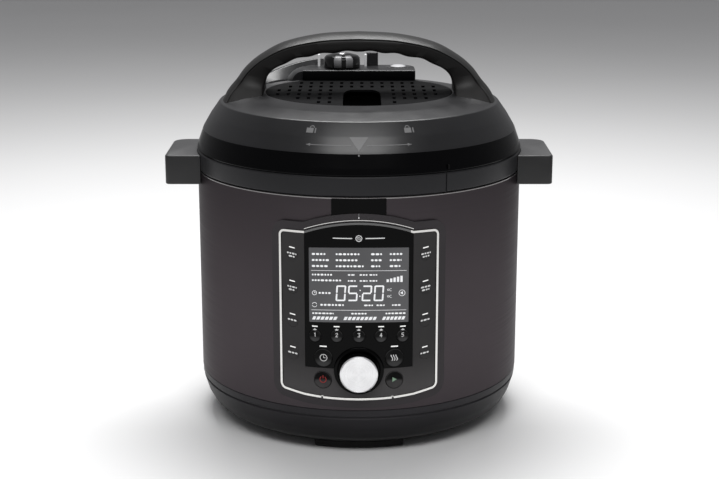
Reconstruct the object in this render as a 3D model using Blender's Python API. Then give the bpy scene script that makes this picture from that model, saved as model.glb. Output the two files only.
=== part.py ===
"""Electric pressure cooker with a turn-and-lock lid.

Metres, +Z up. The front (control panel) faces -Y. Each piece is modelled about the
vessel's upright axis, and the last step moves them all together so that the origin is
the middle of the footprint, on the rest plane under the feet.
"""

import math

import bmesh
import bpy
from mathutils import Matrix, Vector

# ---------------------------------------------------------------- driving dimensions
GAP = 0.0003  # between pieces that touch
ROUND = 42  # sides of the large turned pieces
INNER_ROUND = 28
SMALL_ROUND = 16
KEY_ROUND = 12
BEND_STEP = 0.0095  # width of one flat strip of a plate that follows the shell

SHELL_RADIUS = 0.137
SHELL_WALL = 0.001
FOOT_HEIGHT = 0.0065
FOOT_WIDTH = 0.0195
BASE_HEIGHT = 0.0342  # plastic base, from its underside to the steel's lower edge
BASE_RIM = 0.025  # underside of the base ring, from the shell's radius inwards
STEEL_HEIGHT = 0.1738
COLLAR_HEIGHT = 0.0165
COLLAR_WALL = 0.0025
LEDGE_REACH = 0.006  # inwards, over the inner housing's flange
INLET_HALF_WIDTH = 0.0145
INLET_HEIGHT = 0.021
INLET_DEPTH = 0.021
POWER_BOARD_HALF = 0.048
POWER_BOARD_FRONT, POWER_BOARD_BACK = -0.008, 0.058
POST_INSET = 0.008

CUP_HALF_WIDTH = 0.0275
CUP_FLANGE = 0.0027
CUP_DEPTH = 0.036
CUP_REACH = 0.026  # outwards from the shell
CUP_WALL = 0.0018
CUP_CORNER = 0.008
HANDLE_REACH = 0.0245  # side handle, outwards from the shell
HANDLE_DEPTH = 0.077
HANDLE_HEIGHT = 0.0245
HANDLE_WALL = 0.0024

POT_RADIUS = 0.109  # inside
POT_WALL = 0.0015
POT_CORNER = 0.010
LINER_RADIUS = 0.1208  # inside
LINER_WALL = 0.0012
LUG_COUNT = 6
LUG_REACH = 0.0042
LUG_THICKNESS = 0.0018
LUG_HALF_ANGLE = 12
PLATE_HEIGHT = 0.064  # top of the heating plate
SENSOR_RADIUS = 0.0145
SENSOR_STEM = 0.0045
SPRING_RADIUS, SPRING_WIRE, SPRING_TURNS = 0.0085, 0.0006, 3

PANEL_THICKNESS = 0.0022
PANEL_HALF_WIDTH = 0.0635  # measured along the curve
PANEL_LOW = 0.0505
PANEL_CORNER_LOW = 0.0575
PANEL_HIGH = 0.1875
PANEL_CROWN = 0.1957
GLASS_HALF_WIDTH = 0.0423
TRIM_WIDTH = 0.0017
TRIM_PROUD = 0.0007
BEZEL_MARGIN = 0.0068
NECK_HALF_WIDTH = 0.0213
DISPLAY_HALF_WIDTH = 0.0388
DISPLAY_LOW = 0.1134
DISPLAY_HIGH = 0.1752
KEY_CLEARANCE = 0.00035
KEY_PROUD = 0.0005
FAVOURITE_ROW, FAVOURITE_PITCH, FAVOURITE_RADIUS = 0.1035, 0.0175, 0.0048
FUNCTION_COLUMN, FUNCTION_ROW, FUNCTION_RADIUS = 0.0283, 0.0850, 0.0073
COMMAND_ROW, COMMAND_RADIUS = 0.0666, 0.0070
PROGRAM_COLUMN, PROGRAM_TOP, PROGRAM_PITCH, PROGRAM_RADIUS = 0.0527, 0.1675, 0.0272, 0.0045
DIAL_RADIUS = 0.015
DIAL_LENGTH = 0.010
DIAL_HEIGHT = 0.075
DIAL_RING_RADIUS = 0.0195
SHAFT_RADIUS = 0.003

SKIRT_HEIGHT = 0.0172  # upright dark rim of the lid
BAND_HEIGHT = 0.0225  # sloping band of the lid
SHOULDER_RISE = 0.006
LID_WALL = 0.0026
SKIRT_LEAN = 0.0048  # from the shell's radius in to the crease above the skirt
BAND_WIDTH = 0.0152  # from the crease in to the ridge
COVER_RADIUS = 0.079  # perforated cover in the middle of the lid
COVER_DEPTH = 0.013
COVER_THICKNESS = 0.0018
LEDGE_WIDTH = 0.004
PERFORATION, HOLE_PITCH_X, HOLE_PITCH_Y = 0.0028, 0.0088, 0.0165
ARCH_HEIGHT = 0.056  # handle arch above the ridge
ARCH_HALF_DEPTH = 0.018
ARCH_THICKNESS = 0.015
SHROUD_WALL = 0.0068
SHROUD_MIDDLE, SHROUD_HALF_ANGLE = 127, 20

BLOCK_HALF_WIDTH = 0.050
BLOCK_FRONT = 0.062
BLOCK_BACK = 0.1005
BLOCK_CORNER = 0.014
BLOCK_WALL = 0.0024
BLOCK_RISE = 0.0086  # above the lid's shoulder
VALVE_X, VALVE_Y = -0.0152, 0.0830
VALVE_RADIUS = 0.0165
VALVE_HEIGHT = 0.0125
PIPE_RADIUS = 0.004
PIPE_RISE = 0.0065  # above the valve block
FLOAT_X, FLOAT_Y = 0.0352, 0.0857
FLOAT_RADIUS = 0.0068
FLOAT_TRAVEL = 0.004
STEM_RADIUS = 0.002
BUTTON_X = 0.0025
BUTTON_HALF_WIDTH = 0.0155
BUTTON_BACK = -0.004
PLATE_WALL = 0.0012
SEAL_WIDTH = 0.0079
PIN_ANGLE = 33.6  # degrees to the right of the front
PIN_LENGTH = 0.014

# ---------------------------------------------------------------- levels and radii worked out
BASE_LOW = FOOT_HEIGHT
BASE_OPENING = SHELL_RADIUS - BASE_RIM
INLET_LOW = BASE_LOW + 0.010
INLET_FACE = SHELL_RADIUS - 0.002
BOARD_LEVEL = BASE_LOW + 0.012
STEEL_LOW = BASE_LOW + BASE_HEIGHT
STEEL_HIGH = STEEL_LOW + STEEL_HEIGHT
COLLAR_HIGH = STEEL_HIGH + COLLAR_HEIGHT
COLLAR_INNER = SHELL_RADIUS - COLLAR_WALL
LEDGE_RADIUS = COLLAR_INNER - LEDGE_REACH
CUP_HIGH = STEEL_HIGH - 0.001
CUP_BACK = SHELL_RADIUS + CUP_REACH
RAIL_TIP = CUP_HALF_WIDTH + CUP_FLANGE + 0.0028
LINER_FLANGE = COLLAR_HIGH - 0.008
LINER_LOW = PLATE_HEIGHT - 0.0138
LUG_INNER = LINER_RADIUS - LUG_REACH - 0.0006
POT_LOW = PLATE_HEIGHT + GAP
POT_RIM = LINER_FLANGE - 0.012
POT_RIM_RADIUS = LUG_INNER - 0.0006
PANEL_BACK = SHELL_RADIUS + GAP
PANEL_FACE = PANEL_BACK + PANEL_THICKNESS
KEY_BACK = SHELL_RADIUS - 0.0032
MODULE_FRONT = -(SHELL_RADIUS - 0.0054)
BOARD_FRONT = -(SHELL_RADIUS - 0.0102)
RING_BACK = SHELL_RADIUS - 0.0025
SHAFT_BACK, SHAFT_FRONT = RING_BACK - 0.004, RING_BACK + 0.0131
DIAL_BACK = RING_BACK + 0.0055
DIAL_FRONT = DIAL_BACK + DIAL_LENGTH
SKIRT_HIGH = COLLAR_HIGH + SKIRT_HEIGHT
CREASE_RADIUS = SHELL_RADIUS - SKIRT_LEAN
RIDGE_RADIUS = CREASE_RADIUS - BAND_WIDTH
RIDGE = SKIRT_HIGH + BAND_HEIGHT
LID_TOP = RIDGE + SHOULDER_RISE
LID_FLOOR = LID_TOP - COVER_DEPTH
COVER_LEDGE = LID_TOP - COVER_THICKNESS - 0.0005
ARCH_TOP = RIDGE + ARCH_HEIGHT
BLOCK_TOP = LID_TOP + BLOCK_RISE
SHROUD_OUTER = RIDGE_RADIUS - 0.001
SHROUD_INNER = SHROUD_OUTER - SHROUD_WALL
PLATE_TOP = LID_FLOOR - LID_WALL - 0.0074
PLATE_RADIUS = LUG_INNER - 0.0007
PLATE_RIM_TOP = LINER_FLANGE + 0.005
LID_LUG_TOP = LINER_FLANGE + LINER_WALL - LUG_THICKNESS - 0.0006
FLOAT_FOOT = PLATE_TOP - PLATE_WALL - FLOAT_TRAVEL - 0.0082
FLOAT_FOOT_THICKNESS = 0.0012
SEAL_OUTER = PLATE_RADIUS - PLATE_WALL - 0.0004

# ---------------------------------------------------------------- materials


def material(name, colour, roughness, metallic=0.0):
    made = bpy.data.materials.new(name)
    made.use_nodes = True
    shader = made.node_tree.nodes["Principled BSDF"]
    shader.inputs["Base Color"].default_value = (*colour, 1)
    shader.inputs["Roughness"].default_value = roughness
    shader.inputs["Metallic"].default_value = metallic
    made.diffuse_color = (*colour, 1)
    return made


def clear_scene():
    for item in list(bpy.data.objects):
        bpy.data.objects.remove(item, do_unlink=True)


clear_scene()
DARK_STEEL = material("dark_steel", (0.055, 0.048, 0.052), 0.35, 1.0)
BRIGHT_STEEL = material("bright_steel", (0.6, 0.6, 0.6), 0.25, 1.0)
ALUMINIUM = material("aluminium", (0.7, 0.7, 0.7), 0.4, 1.0)
BLACK_PLASTIC = material("black_plastic", (0.02, 0.02, 0.021), 0.45)
GLOSS_BLACK = material("gloss_black", (0.004, 0.004, 0.004), 0.08)
GREY_PLASTIC = material("grey_plastic", (0.035, 0.033, 0.034), 0.5)
SILVER = material("silver", (0.75, 0.75, 0.75), 0.2, 1.0)
SILICONE = material("silicone", (0.6, 0.6, 0.58), 0.6)
RUBBER = material("rubber", (0.015, 0.015, 0.015), 0.8)
BOARD_GREEN = material("board_green", (0.01, 0.12, 0.04), 0.5)
CLEAR_PLASTIC = material("clear_plastic", (0.7, 0.72, 0.74), 0.2)

# ---------------------------------------------------------------- shape helpers


def add_object(name, mesh_builder, surface=None):
    """Turns a bmesh into a named object, with its normals out and round faces smooth."""
    bmesh.ops.remove_doubles(mesh_builder, verts=mesh_builder.verts, dist=1e-6)
    bmesh.ops.recalc_face_normals(mesh_builder, faces=mesh_builder.faces)
    mesh = bpy.data.meshes.new(name)
    mesh_builder.to_mesh(mesh)
    mesh_builder.free()
    mesh.shade_smooth()
    mesh.set_sharp_from_angle(angle=math.radians(35))
    made = bpy.data.objects.new(name, mesh)
    bpy.context.scene.collection.objects.link(made)
    if surface:
        mesh.materials.append(surface)
    return made


def turn(name, profile, surface=None, sides=ROUND, centre=(0.0, 0.0)):
    """Spins a closed (radius, z) outline about an upright axis through centre."""
    builder = bmesh.new()
    points = [builder.verts.new((radius, 0, z)) for radius, z in profile]
    for first, second in zip(points, points[1:] + points[:1]):
        if first.co.x > 0 or second.co.x > 0:
            builder.edges.new((first, second))
    bmesh.ops.spin(
        builder,
        geom=builder.verts[:] + builder.edges[:],
        cent=(0, 0, 0),
        axis=(0, 0, 1),
        angle=math.tau,
        steps=sides,
        use_merge=True,
    )
    bmesh.ops.remove_doubles(builder, verts=builder.verts, dist=1e-6)
    bmesh.ops.dissolve_degenerate(builder, edges=builder.edges, dist=1e-6)
    bmesh.ops.translate(builder, vec=(*centre, 0), verts=builder.verts)
    return add_object(name, builder, surface)


def prism(name, outline, low, high, surface=None):
    """Raises an (x, y) outline from low to high along Z."""
    builder = bmesh.new()
    face = builder.faces.new([builder.verts.new((x, y, low)) for x, y in outline])
    raised = bmesh.ops.extrude_face_region(builder, geom=[face])["geom"]
    top = [item for item in raised if isinstance(item, bmesh.types.BMVert)]
    bmesh.ops.translate(builder, vec=(0, 0, high - low), verts=top)
    return add_object(name, builder, surface)


def box(name, low, high, surface=None):
    outline = [(low[0], low[1]), (high[0], low[1]), (high[0], high[1]), (low[0], high[1])]
    return prism(name, outline, low[2], high[2], surface)


def facing_front(made, height=0.0):
    """Turns a piece modelled along +Z so that it points along -Y, at this height."""
    made.location = (0, 0, height)
    made.rotation_euler = (math.pi / 2, 0, 0)
    return made


def curved(name, outline, inner, outer, surface=None):
    """A plate that follows the shell: outline in (distance along the curve, height)."""
    builder = bmesh.new()
    face = builder.faces.new([builder.verts.new((u, -inner, z)) for u, z in outline])
    raised = bmesh.ops.extrude_face_region(builder, geom=[face])["geom"]
    front = [item for item in raised if isinstance(item, bmesh.types.BMVert)]
    bmesh.ops.translate(builder, vec=(0, inner - outer, 0), verts=front)
    widest = max(abs(u) for u, _ in outline)
    steps = int(widest / BEND_STEP)
    for step in range(-steps, steps + 1):
        everything = builder.verts[:] + builder.edges[:] + builder.faces[:]
        place = (step * BEND_STEP + 0.0001, 0, 0)
        bmesh.ops.bisect_plane(builder, geom=everything, plane_co=place, plane_no=(1, 0, 0))
    bmesh.ops.triangulate(builder, faces=builder.faces)
    for vert in builder.verts:
        angle = vert.co.x / SHELL_RADIUS
        radius = -vert.co.y
        vert.co.x = radius * math.sin(angle)
        vert.co.y = -radius * math.cos(angle)
    return add_object(name, builder, surface)


def arc(centre_x, centre_y, radius, start, end, steps):
    """Points on an arc, angles in degrees."""
    angles = [math.radians(start + (end - start) * step / steps) for step in range(steps + 1)]
    return [(centre_x + radius * math.cos(a), centre_y + radius * math.sin(a)) for a in angles]


def use_as_tool(made):
    made.hide_render = True
    made.display_type = "WIRE"
    return made


def boolean(target, other, operation):
    step = target.modifiers.new(other.name, "BOOLEAN")
    step.operation = operation
    step.object = use_as_tool(other)
    return target


def cut(target, *tools):
    for tool in tools:
        boolean(target, tool, "DIFFERENCE")
    return target


def join(target, *pieces):
    for piece in pieces:
        boolean(target, piece, "UNION")
    return target


def tube(inner, outer, low, high):
    return [(outer, high), (outer, low), (inner, low), (inner, high)]


def disc(radius, low, high):
    return [(0, high), (radius, high), (radius, low), (0, low)]


def ring_sector(inner, outer, middle, half_angle, steps=6):
    """Outline of a sector of a ring, angles in degrees, in the XY plane."""
    outside = arc(0, 0, outer, middle - half_angle, middle + half_angle, steps)
    inside = arc(0, 0, inner, middle + half_angle, middle - half_angle, steps)
    return outside + inside


def radial(made, along, height):
    """Moves a piece modelled along +Z at the origin so that it points out of the shell."""
    made.location = (0, 0, height)
    made.rotation_euler = (math.pi / 2, 0, along / SHELL_RADIUS)
    return made


# ---------------------------------------------------------------- base: casing


def feet():
    for name, middle in (("front", 270), ("right", 0), ("rear", 90), ("left", 180)):
        outer = BASE_OPENING + 0.0035
        outline = ring_sector(outer - FOOT_WIDTH, outer, middle, 17)
        prism(f"foot_{name}", outline, 0, FOOT_HEIGHT - GAP, RUBBER)


def base_ring():
    top = STEEL_LOW - GAP
    outside = [
        (SHELL_RADIUS - 0.0004, top),
        (SHELL_RADIUS - 0.0004, top - 0.0055),
        (SHELL_RADIUS - 0.0015, top - 0.0062),
        (SHELL_RADIUS - 0.0015, top - 0.0072),
        (SHELL_RADIUS - 0.001, top - 0.0078),
        (SHELL_RADIUS - 0.0045, BASE_LOW + 0.015),
        (SHELL_RADIUS - 0.009, BASE_LOW + 0.006),
        (SHELL_RADIUS - 0.014, BASE_LOW + 0.001),
        (SHELL_RADIUS - 0.019, BASE_LOW),
    ]
    inside = [
        (BASE_OPENING, BASE_LOW),
        (BASE_OPENING, BASE_LOW + 0.003),
        (SHELL_RADIUS - 0.011, BASE_LOW + 0.010),
        (SHELL_RADIUS - 0.005, top),
    ]
    ring = turn("base_ring", outside + inside, BLACK_PLASTIC)
    half, low, high = INLET_HALF_WIDTH + GAP, INLET_LOW - GAP, INLET_LOW + INLET_HEIGHT + GAP
    return cut(ring, box("inlet_hole", (-half, BASE_OPENING - 0.002, low), (half, SHELL_RADIUS + 0.013, high)))


def bottom_cover():
    thickness = 0.0025
    cover = turn("bottom_cover", disc(BASE_OPENING - GAP, BASE_LOW, BASE_LOW + thickness), GREY_PLASTIC)
    vents = [
        box(f"vent_{row}", (-0.03, -0.052 + row * 0.009, 0), (0.03, -0.048 + row * 0.009, 0.02))
        for row in range(4)
    ]
    cut(cover, *vents)
    post = disc(0.004, BASE_LOW + 0.001, BOARD_LEVEL - GAP)
    across = POWER_BOARD_HALF - POST_INSET
    for row, y in enumerate((POWER_BOARD_FRONT + POST_INSET, POWER_BOARD_BACK - POST_INSET)):
        for side in (-1, 1):
            join(cover, turn(f"post_{row}_{side}", post, None, SMALL_ROUND, (side * across, y)))
    return cover


def power_board():
    top = BOARD_LEVEL + 0.0016
    corner = (-POWER_BOARD_HALF, POWER_BOARD_FRONT, BOARD_LEVEL)
    board = box("power_board", corner, (POWER_BOARD_HALF, POWER_BOARD_BACK, top), BOARD_GREEN)
    parts = (
        ("relay", (-0.04, 0.005), (-0.018, 0.022), 0.014),
        ("transformer", (-0.01, 0.02), (0.014, 0.044), 0.016),
        ("capacitor", (0.022, 0.0), (0.036, 0.014), 0.018),
    )
    for name, front, back, rise in parts:
        join(board, box(name, (*front, top - 0.0005), (*back, top + rise)))
    return board


def outer_shell():
    wall = SHELL_RADIUS - SHELL_WALL
    shell = turn("outer_shell", tube(wall, SHELL_RADIUS, STEEL_LOW, STEEL_HIGH), DARK_STEEL)
    half, low, high = PANEL_HALF_WIDTH - 0.004, PANEL_LOW + 0.003, PANEL_HIGH - 0.0055
    window = [(-half, low), (half, low), (half, high), (-half, high)]
    return cut(shell, curved("window", window, wall - 0.004, SHELL_RADIUS + 0.004))


def upper_collar():
    low, high = STEEL_HIGH + GAP, COLLAR_HIGH - GAP
    outside = [(SHELL_RADIUS - 0.0005, high), (SHELL_RADIUS + 0.0003, high - 0.0008)]
    outside += [(SHELL_RADIUS + 0.0003, low + 0.0006), (SHELL_RADIUS - 0.0001, low)]
    ledge = LINER_FLANGE + LINER_WALL + GAP
    inside = [(COLLAR_INNER, low), (COLLAR_INNER, ledge), (LEDGE_RADIUS, ledge), (LEDGE_RADIUS, high)]
    collar = turn("upper_collar", outside + inside, BLACK_PLASTIC)
    front, back = SHELL_RADIUS - 0.0055, CUP_BACK - 0.005
    shelf = box("cup_shelf", (-RAIL_TIP, front, low + 0.0004), (RAIL_TIP, back, low + 0.0026))
    join(collar, shelf, cup_rail(1), cup_rail(-1))
    drain = box("drain", (-0.008, SHELL_RADIUS + 0.004, low - 0.002), (0.008, CUP_BACK - 0.011, low + 0.01))
    bore = turn("collar_bore", disc(COLLAR_INNER, low - 0.002, ledge))
    half, depth = 0.0006, 0.0004
    front, back = -(SHELL_RADIUS + 0.002), -(SHELL_RADIUS - depth)
    groove = box("pin_mark", (-half, front, low - 0.001), (half, back, COLLAR_HIGH + 0.001))
    groove.rotation_euler.z = math.radians(PIN_ANGLE)
    return cut(collar, drain, bore, groove)


def cup_rail(side):
    """L-shaped rail under the collar, which one flange of the cup slides along."""
    foot, tip = side * (CUP_HALF_WIDTH + 0.001), side * RAIL_TIP
    back = side * (CUP_HALF_WIDTH + CUP_FLANGE + 0.0004)
    low, lip, high = CUP_HIGH - 0.0058, CUP_HIGH - 0.0040, CUP_HIGH + 0.0025
    outline = [(foot, low), (tip, low), (tip, high), (back, high), (back, lip), (foot, lip)]
    rail = prism(f"cup_rail_{side}", outline, SHELL_RADIUS + 0.0005, CUP_BACK - 0.0052)
    rail.data.transform(Matrix(((1, 0, 0, 0), (0, 0, 1, 0), (0, 1, 0, 0), (0, 0, 0, 1))))
    rail.data.flip_normals()
    return rail


def cup_outline(shrink):
    """Plan of the cup: square at the front, its two rear corners cut off."""
    half, front, back = CUP_HALF_WIDTH - shrink, SHELL_RADIUS + 0.0012 + shrink, CUP_BACK - shrink
    bevel = CUP_CORNER - 0.55 * shrink
    right = [(half, front), (half, back - bevel), (half - bevel, back)]
    return right + [(-x, y) for x, y in reversed(right)]


def condensation_cup():
    low = CUP_HIGH - CUP_DEPTH
    cup = prism("condensation_cup", cup_outline(0), low, CUP_HIGH, CLEAR_PLASTIC)
    half, top = CUP_HALF_WIDTH + CUP_FLANGE, CUP_HIGH - 0.0019
    join(cup, box("cup_flange", (-half, SHELL_RADIUS + 0.0012, top - 0.0018), (half, CUP_BACK - 0.011, top)))
    return cut(cup, prism("cup_inside", cup_outline(CUP_WALL), low + CUP_WALL, CUP_HIGH + 0.01))


def side_handle(name, side):
    """Hollow grip, open underneath, whose inner side follows the shell."""
    high = COLLAR_HIGH - 0.0026
    low = high - HANDLE_HEIGHT
    tip, half = SHELL_RADIUS + HANDLE_REACH, HANDLE_DEPTH / 2
    front_round, back_round = 0.004, 0.012

    def outline(shrink):
        end, reach = half - shrink, tip - shrink
        corner = arc(reach - front_round, -end + front_round, front_round, -90, 0, 3)
        far = arc(reach - back_round, end - back_round, back_round, 0, 90, 4)
        inside = SHELL_RADIUS - 0.037
        return [(inside, -end)] + corner + far + [(inside, end)]

    grip = prism(name, outline(0), low, high, BLACK_PLASTIC)
    hollow = prism(f"{name}_hollow", outline(HANDLE_WALL), low - 0.01, high - HANDLE_WALL)
    web = turn(f"{name}_web", disc(SHELL_RADIUS + 0.0028, low, high - 0.001))
    cut(hollow, web)
    clear = turn(f"{name}_clear", disc(SHELL_RADIUS + 0.0006, low - 0.01, high + 0.01))
    cut(grip, hollow, clear)
    if side < 0:
        for made in (grip, hollow):
            made.data.transform(Matrix.Scale(-1, 4, (1, 0, 0)))
            made.data.flip_normals()
    return grip


def power_inlet():
    half, low, high = INLET_HALF_WIDTH, INLET_LOW, INLET_LOW + INLET_HEIGHT
    back, wall = INLET_FACE - INLET_DEPTH, 0.002
    inlet = box("power_inlet", (-half, back, low), (half, INLET_FACE, high), BLACK_PLASTIC)
    inside = (-half + 0.0025, back + 0.003, low + wall), (half - 0.0025, INLET_FACE + 0.012, high - wall)
    cut(inlet, box("socket", *inside))
    for index, (x, z) in enumerate(((-0.007, 0.0075), (0.007, 0.0075), (0.0, 0.014))):
        foot, tip = (x - 0.001, back + 0.001, low + z - 0.002), (x + 0.001, back + 0.013, low + z + 0.002)
        join(inlet, box(f"pin_{index}", foot, tip))
    return inlet


# ---------------------------------------------------------------- base: cooking vessel


def inner_housing():
    inner, outer = LINER_RADIUS, LINER_RADIUS + LINER_WALL
    low, hole = LINER_LOW, SENSOR_STEM + 0.0007
    flange, top = LEDGE_RADIUS + 0.0036, LINER_FLANGE + LINER_WALL
    profile = [(inner, top), (flange, top), (flange, LINER_FLANGE), (outer, LINER_FLANGE)]
    profile += [(outer, low), (hole, low), (hole, low + LINER_WALL), (inner, low + LINER_WALL)]
    housing = turn("inner_housing", profile, BRIGHT_STEEL)
    for index in range(LUG_COUNT):
        middle = 360 * (index + 0.5) / LUG_COUNT
        outline = ring_sector(LUG_INNER, inner + 0.0006, middle, LUG_HALF_ANGLE, 4)
        join(housing, prism(f"housing_lug_{index}", outline, top - LUG_THICKNESS, top - 0.0001))
    return housing


def heating_plate():
    outer, hole, low = POT_RADIUS - 0.005, SENSOR_RADIUS + 0.0015, LINER_LOW + LINER_WALL + GAP
    profile = [(hole, PLATE_HEIGHT), (outer - 0.0035, PLATE_HEIGHT), (outer, PLATE_HEIGHT - 0.002)]
    profile += [(outer, PLATE_HEIGHT - 0.006), (outer - 0.014, PLATE_HEIGHT - 0.007)]
    profile += [(outer - 0.014, low), (hole, low)]
    return turn("heating_plate", profile, ALUMINIUM, INNER_ROUND)


def temperature_sensor():
    head, foot = PLATE_HEIGHT - 0.005, PLATE_HEIGHT - 0.026
    profile = [(0, PLATE_HEIGHT), (SENSOR_RADIUS, PLATE_HEIGHT), (SENSOR_RADIUS, head)]
    profile += [(SENSOR_STEM, head), (SENSOR_STEM, foot), (0, foot)]
    return turn("temperature_sensor", profile, ALUMINIUM, 24)


def sensor_spring():
    low = LINER_LOW + LINER_WALL + GAP + SPRING_WIRE
    high = PLATE_HEIGHT - 0.005 - GAP - SPRING_WIRE
    curve = bpy.data.curves.new("sensor_spring", "CURVE")
    curve.dimensions = "3D"
    curve.bevel_depth = SPRING_WIRE
    curve.bevel_resolution = 0
    curve.use_fill_caps = True
    steps = SPRING_TURNS * 12
    path = curve.splines.new("POLY")
    path.points.add(steps)
    for step, point in enumerate(path.points):
        angle = math.tau * step / 12
        height = low + (high - low) * step / steps
        point.co = (SPRING_RADIUS * math.cos(angle), SPRING_RADIUS * math.sin(angle), height, 1)
    curve.materials.append(BRIGHT_STEEL)
    made = bpy.data.objects.new("sensor_spring", curve)
    bpy.context.scene.collection.objects.link(made)
    return made


def inner_pot():
    outer = POT_RADIUS + POT_WALL
    corner = arc(outer - POT_CORNER, POT_LOW + POT_CORNER, POT_CORNER, -90, 0, 3)
    inside = arc(outer - POT_CORNER, POT_LOW + POT_CORNER, POT_CORNER - POT_WALL, 0, -90, 3)
    rim = POT_RIM - POT_WALL
    profile = [(0, POT_LOW)] + corner + [(outer, rim), (POT_RIM_RADIUS, rim), (POT_RIM_RADIUS, POT_RIM)]
    profile += [(POT_RADIUS, POT_RIM)] + inside + [(0, POT_LOW + POT_WALL)]
    return turn("inner_pot", profile, BRIGHT_STEEL)


# ---------------------------------------------------------------- base: control panel


def inset(outline, distance):
    """The outline moved inwards (or outwards, if negative) by a distance; it runs anticlockwise."""
    moved = []
    for before, here, after in zip(outline[-1:] + outline[:-1], outline, outline[1:] + outline[:1]):
        first = (Vector(here) - Vector(before)).normalized()
        second = (Vector(after) - Vector(here)).normalized()
        across = (Vector((-first.y, first.x)) + Vector((-second.y, second.x))).normalized()
        length = distance / max(0.5, across.dot(Vector((-first.y, first.x))))
        moved.append(tuple(Vector(here) + across * length))
    return moved


def panel_outline():
    edge, round_low, round_high = PANEL_HALF_WIDTH, 0.005, 0.004
    right = [(0.0265, PANEL_LOW + 0.0007), (0.0435, PANEL_LOW + 0.0023)]
    right += arc(edge - round_low, PANEL_CORNER_LOW + round_low - 0.002, round_low, -70, 0, 3)
    right += arc(edge - round_high, PANEL_HIGH - round_high, round_high, 0, 90, 3)
    crown = PANEL_CROWN - PANEL_HIGH
    for share in (1.0, 0.75, 0.5, 0.25):
        right.append((GLASS_HALF_WIDTH * share, PANEL_HIGH + crown * (1 - share**2)))
    left = [(-u, z) for u, z in reversed(right)]
    return [(0, PANEL_LOW)] + right + [(0, PANEL_CROWN)] + left


def glass_outline(grow):
    """The black window: its sides and foot grow by this much, its top follows the trim."""
    edge, foot = GLASS_HALF_WIDTH + grow, DIAL_HEIGHT + 0.0017 - grow
    top = inset(panel_outline(), TRIM_WIDTH + GAP)
    crown = [(u, z) for u, z in top if z > PANEL_HIGH and abs(u) < GLASS_HALF_WIDTH]
    side = PANEL_HIGH - TRIM_WIDTH - GAP
    return [(-edge, foot), (edge, foot), (edge, side)] + crown + [(-edge, side)]


def key_places():
    """Name, place along the curve, height and radius of each key."""
    keys = []
    for index in range(5):
        place = (index - 2) * FAVOURITE_PITCH
        keys.append((f"favourite_key_{index + 1}", place, FAVOURITE_ROW, FAVOURITE_RADIUS))
    keys.append(("delay_key", -FUNCTION_COLUMN, FUNCTION_ROW, FUNCTION_RADIUS))
    keys.append(("warm_key", FUNCTION_COLUMN, FUNCTION_ROW, FUNCTION_RADIUS))
    keys.append(("cancel_key", -FUNCTION_COLUMN, COMMAND_ROW, COMMAND_RADIUS))
    keys.append(("start_key", FUNCTION_COLUMN, COMMAND_ROW, COMMAND_RADIUS))
    for side, name in ((-1, "left"), (1, "right")):
        for row in range(4):
            height = PROGRAM_TOP - row * PROGRAM_PITCH
            keys.append((f"program_key_{name}_{row + 1}", side * PROGRAM_COLUMN, height, PROGRAM_RADIUS))
    return keys


def keys():
    flange = PANEL_BACK - 0.0009
    for name, place, height, radius in key_places():
        profile = [(0, PANEL_FACE + KEY_PROUD), (radius, PANEL_FACE + KEY_PROUD), (radius, flange)]
        profile += [(radius + 0.0007, flange), (radius + 0.0007, KEY_BACK), (0, KEY_BACK)]
        surface = GLOSS_BLACK if "program" not in name else GREY_PLASTIC
        radial(turn(name, profile, surface, KEY_ROUND), place, height)


def key_holes(target, wanted):
    for name, place, height, radius in key_places():
        if wanted(place, height):
            profile = disc(radius + KEY_CLEARANCE, KEY_BACK, PANEL_FACE + 0.01)
            hole = turn(f"{name}_hole_{target.name}", profile, None, KEY_ROUND)
            cut(target, radial(hole, place, height))


def dial_hole(target):
    profile = disc(DIAL_RING_RADIUS + GAP, SHELL_RADIUS - 0.01, SHELL_RADIUS + 0.02)
    cut(target, facing_front(turn(f"dial_hole_{target.name}", profile, None, INNER_ROUND), DIAL_HEIGHT))


def control_panel():
    outline = panel_outline()
    far_in, far_out = PANEL_BACK - 0.003, PANEL_FACE + 0.004

    around = inset(outline, -BEZEL_MARGIN)
    bezel = curved("control_bezel", around, PANEL_BACK, PANEL_FACE - 0.0003, BLACK_PLASTIC)
    half, low, high = NECK_HALF_WIDTH, PANEL_HIGH + 0.0025, STEEL_HIGH - 0.0008
    neck = [(-half, low), (half, low), (half, high), (-half, high)]
    join(bezel, curved("bezel_neck", neck, PANEL_BACK + 0.0001, PANEL_BACK + 0.0009))
    cut(bezel, curved("bezel_opening", inset(outline, -GAP), far_in, far_out))

    trim = curved("panel_trim", outline, PANEL_BACK, PANEL_FACE + TRIM_PROUD, SILVER)
    cut(trim, curved("trim_opening", inset(outline, TRIM_WIDTH), far_in, far_out))

    inside = inset(outline, TRIM_WIDTH + GAP)
    panel = curved("key_panel", inside, PANEL_BACK, PANEL_FACE, GREY_PLASTIC)
    opening = [(u, z + (0.02 if z > DIAL_HEIGHT + 0.05 else 0)) for u, z in glass_outline(GAP)]
    cut(panel, curved("glass_opening", opening, far_in, far_out))
    dial_hole(panel)
    in_glass = FUNCTION_ROW - 0.01
    key_holes(panel, lambda place, height: abs(place) > GLASS_HALF_WIDTH or height < in_glass)

    glass = curved("display_glass", glass_outline(0), PANEL_BACK, PANEL_FACE, GLOSS_BLACK)
    dial_hole(glass)
    key_holes(glass, lambda place, height: abs(place) < GLASS_HALF_WIDTH and height > in_glass)


def display_module():
    width = DISPLAY_HALF_WIDTH - 0.0022
    low, high = (-width, MODULE_FRONT, DISPLAY_LOW), (width, BOARD_FRONT - 0.0004, DISPLAY_HIGH)
    return box("display_module", low, high, GREY_PLASTIC)


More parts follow.
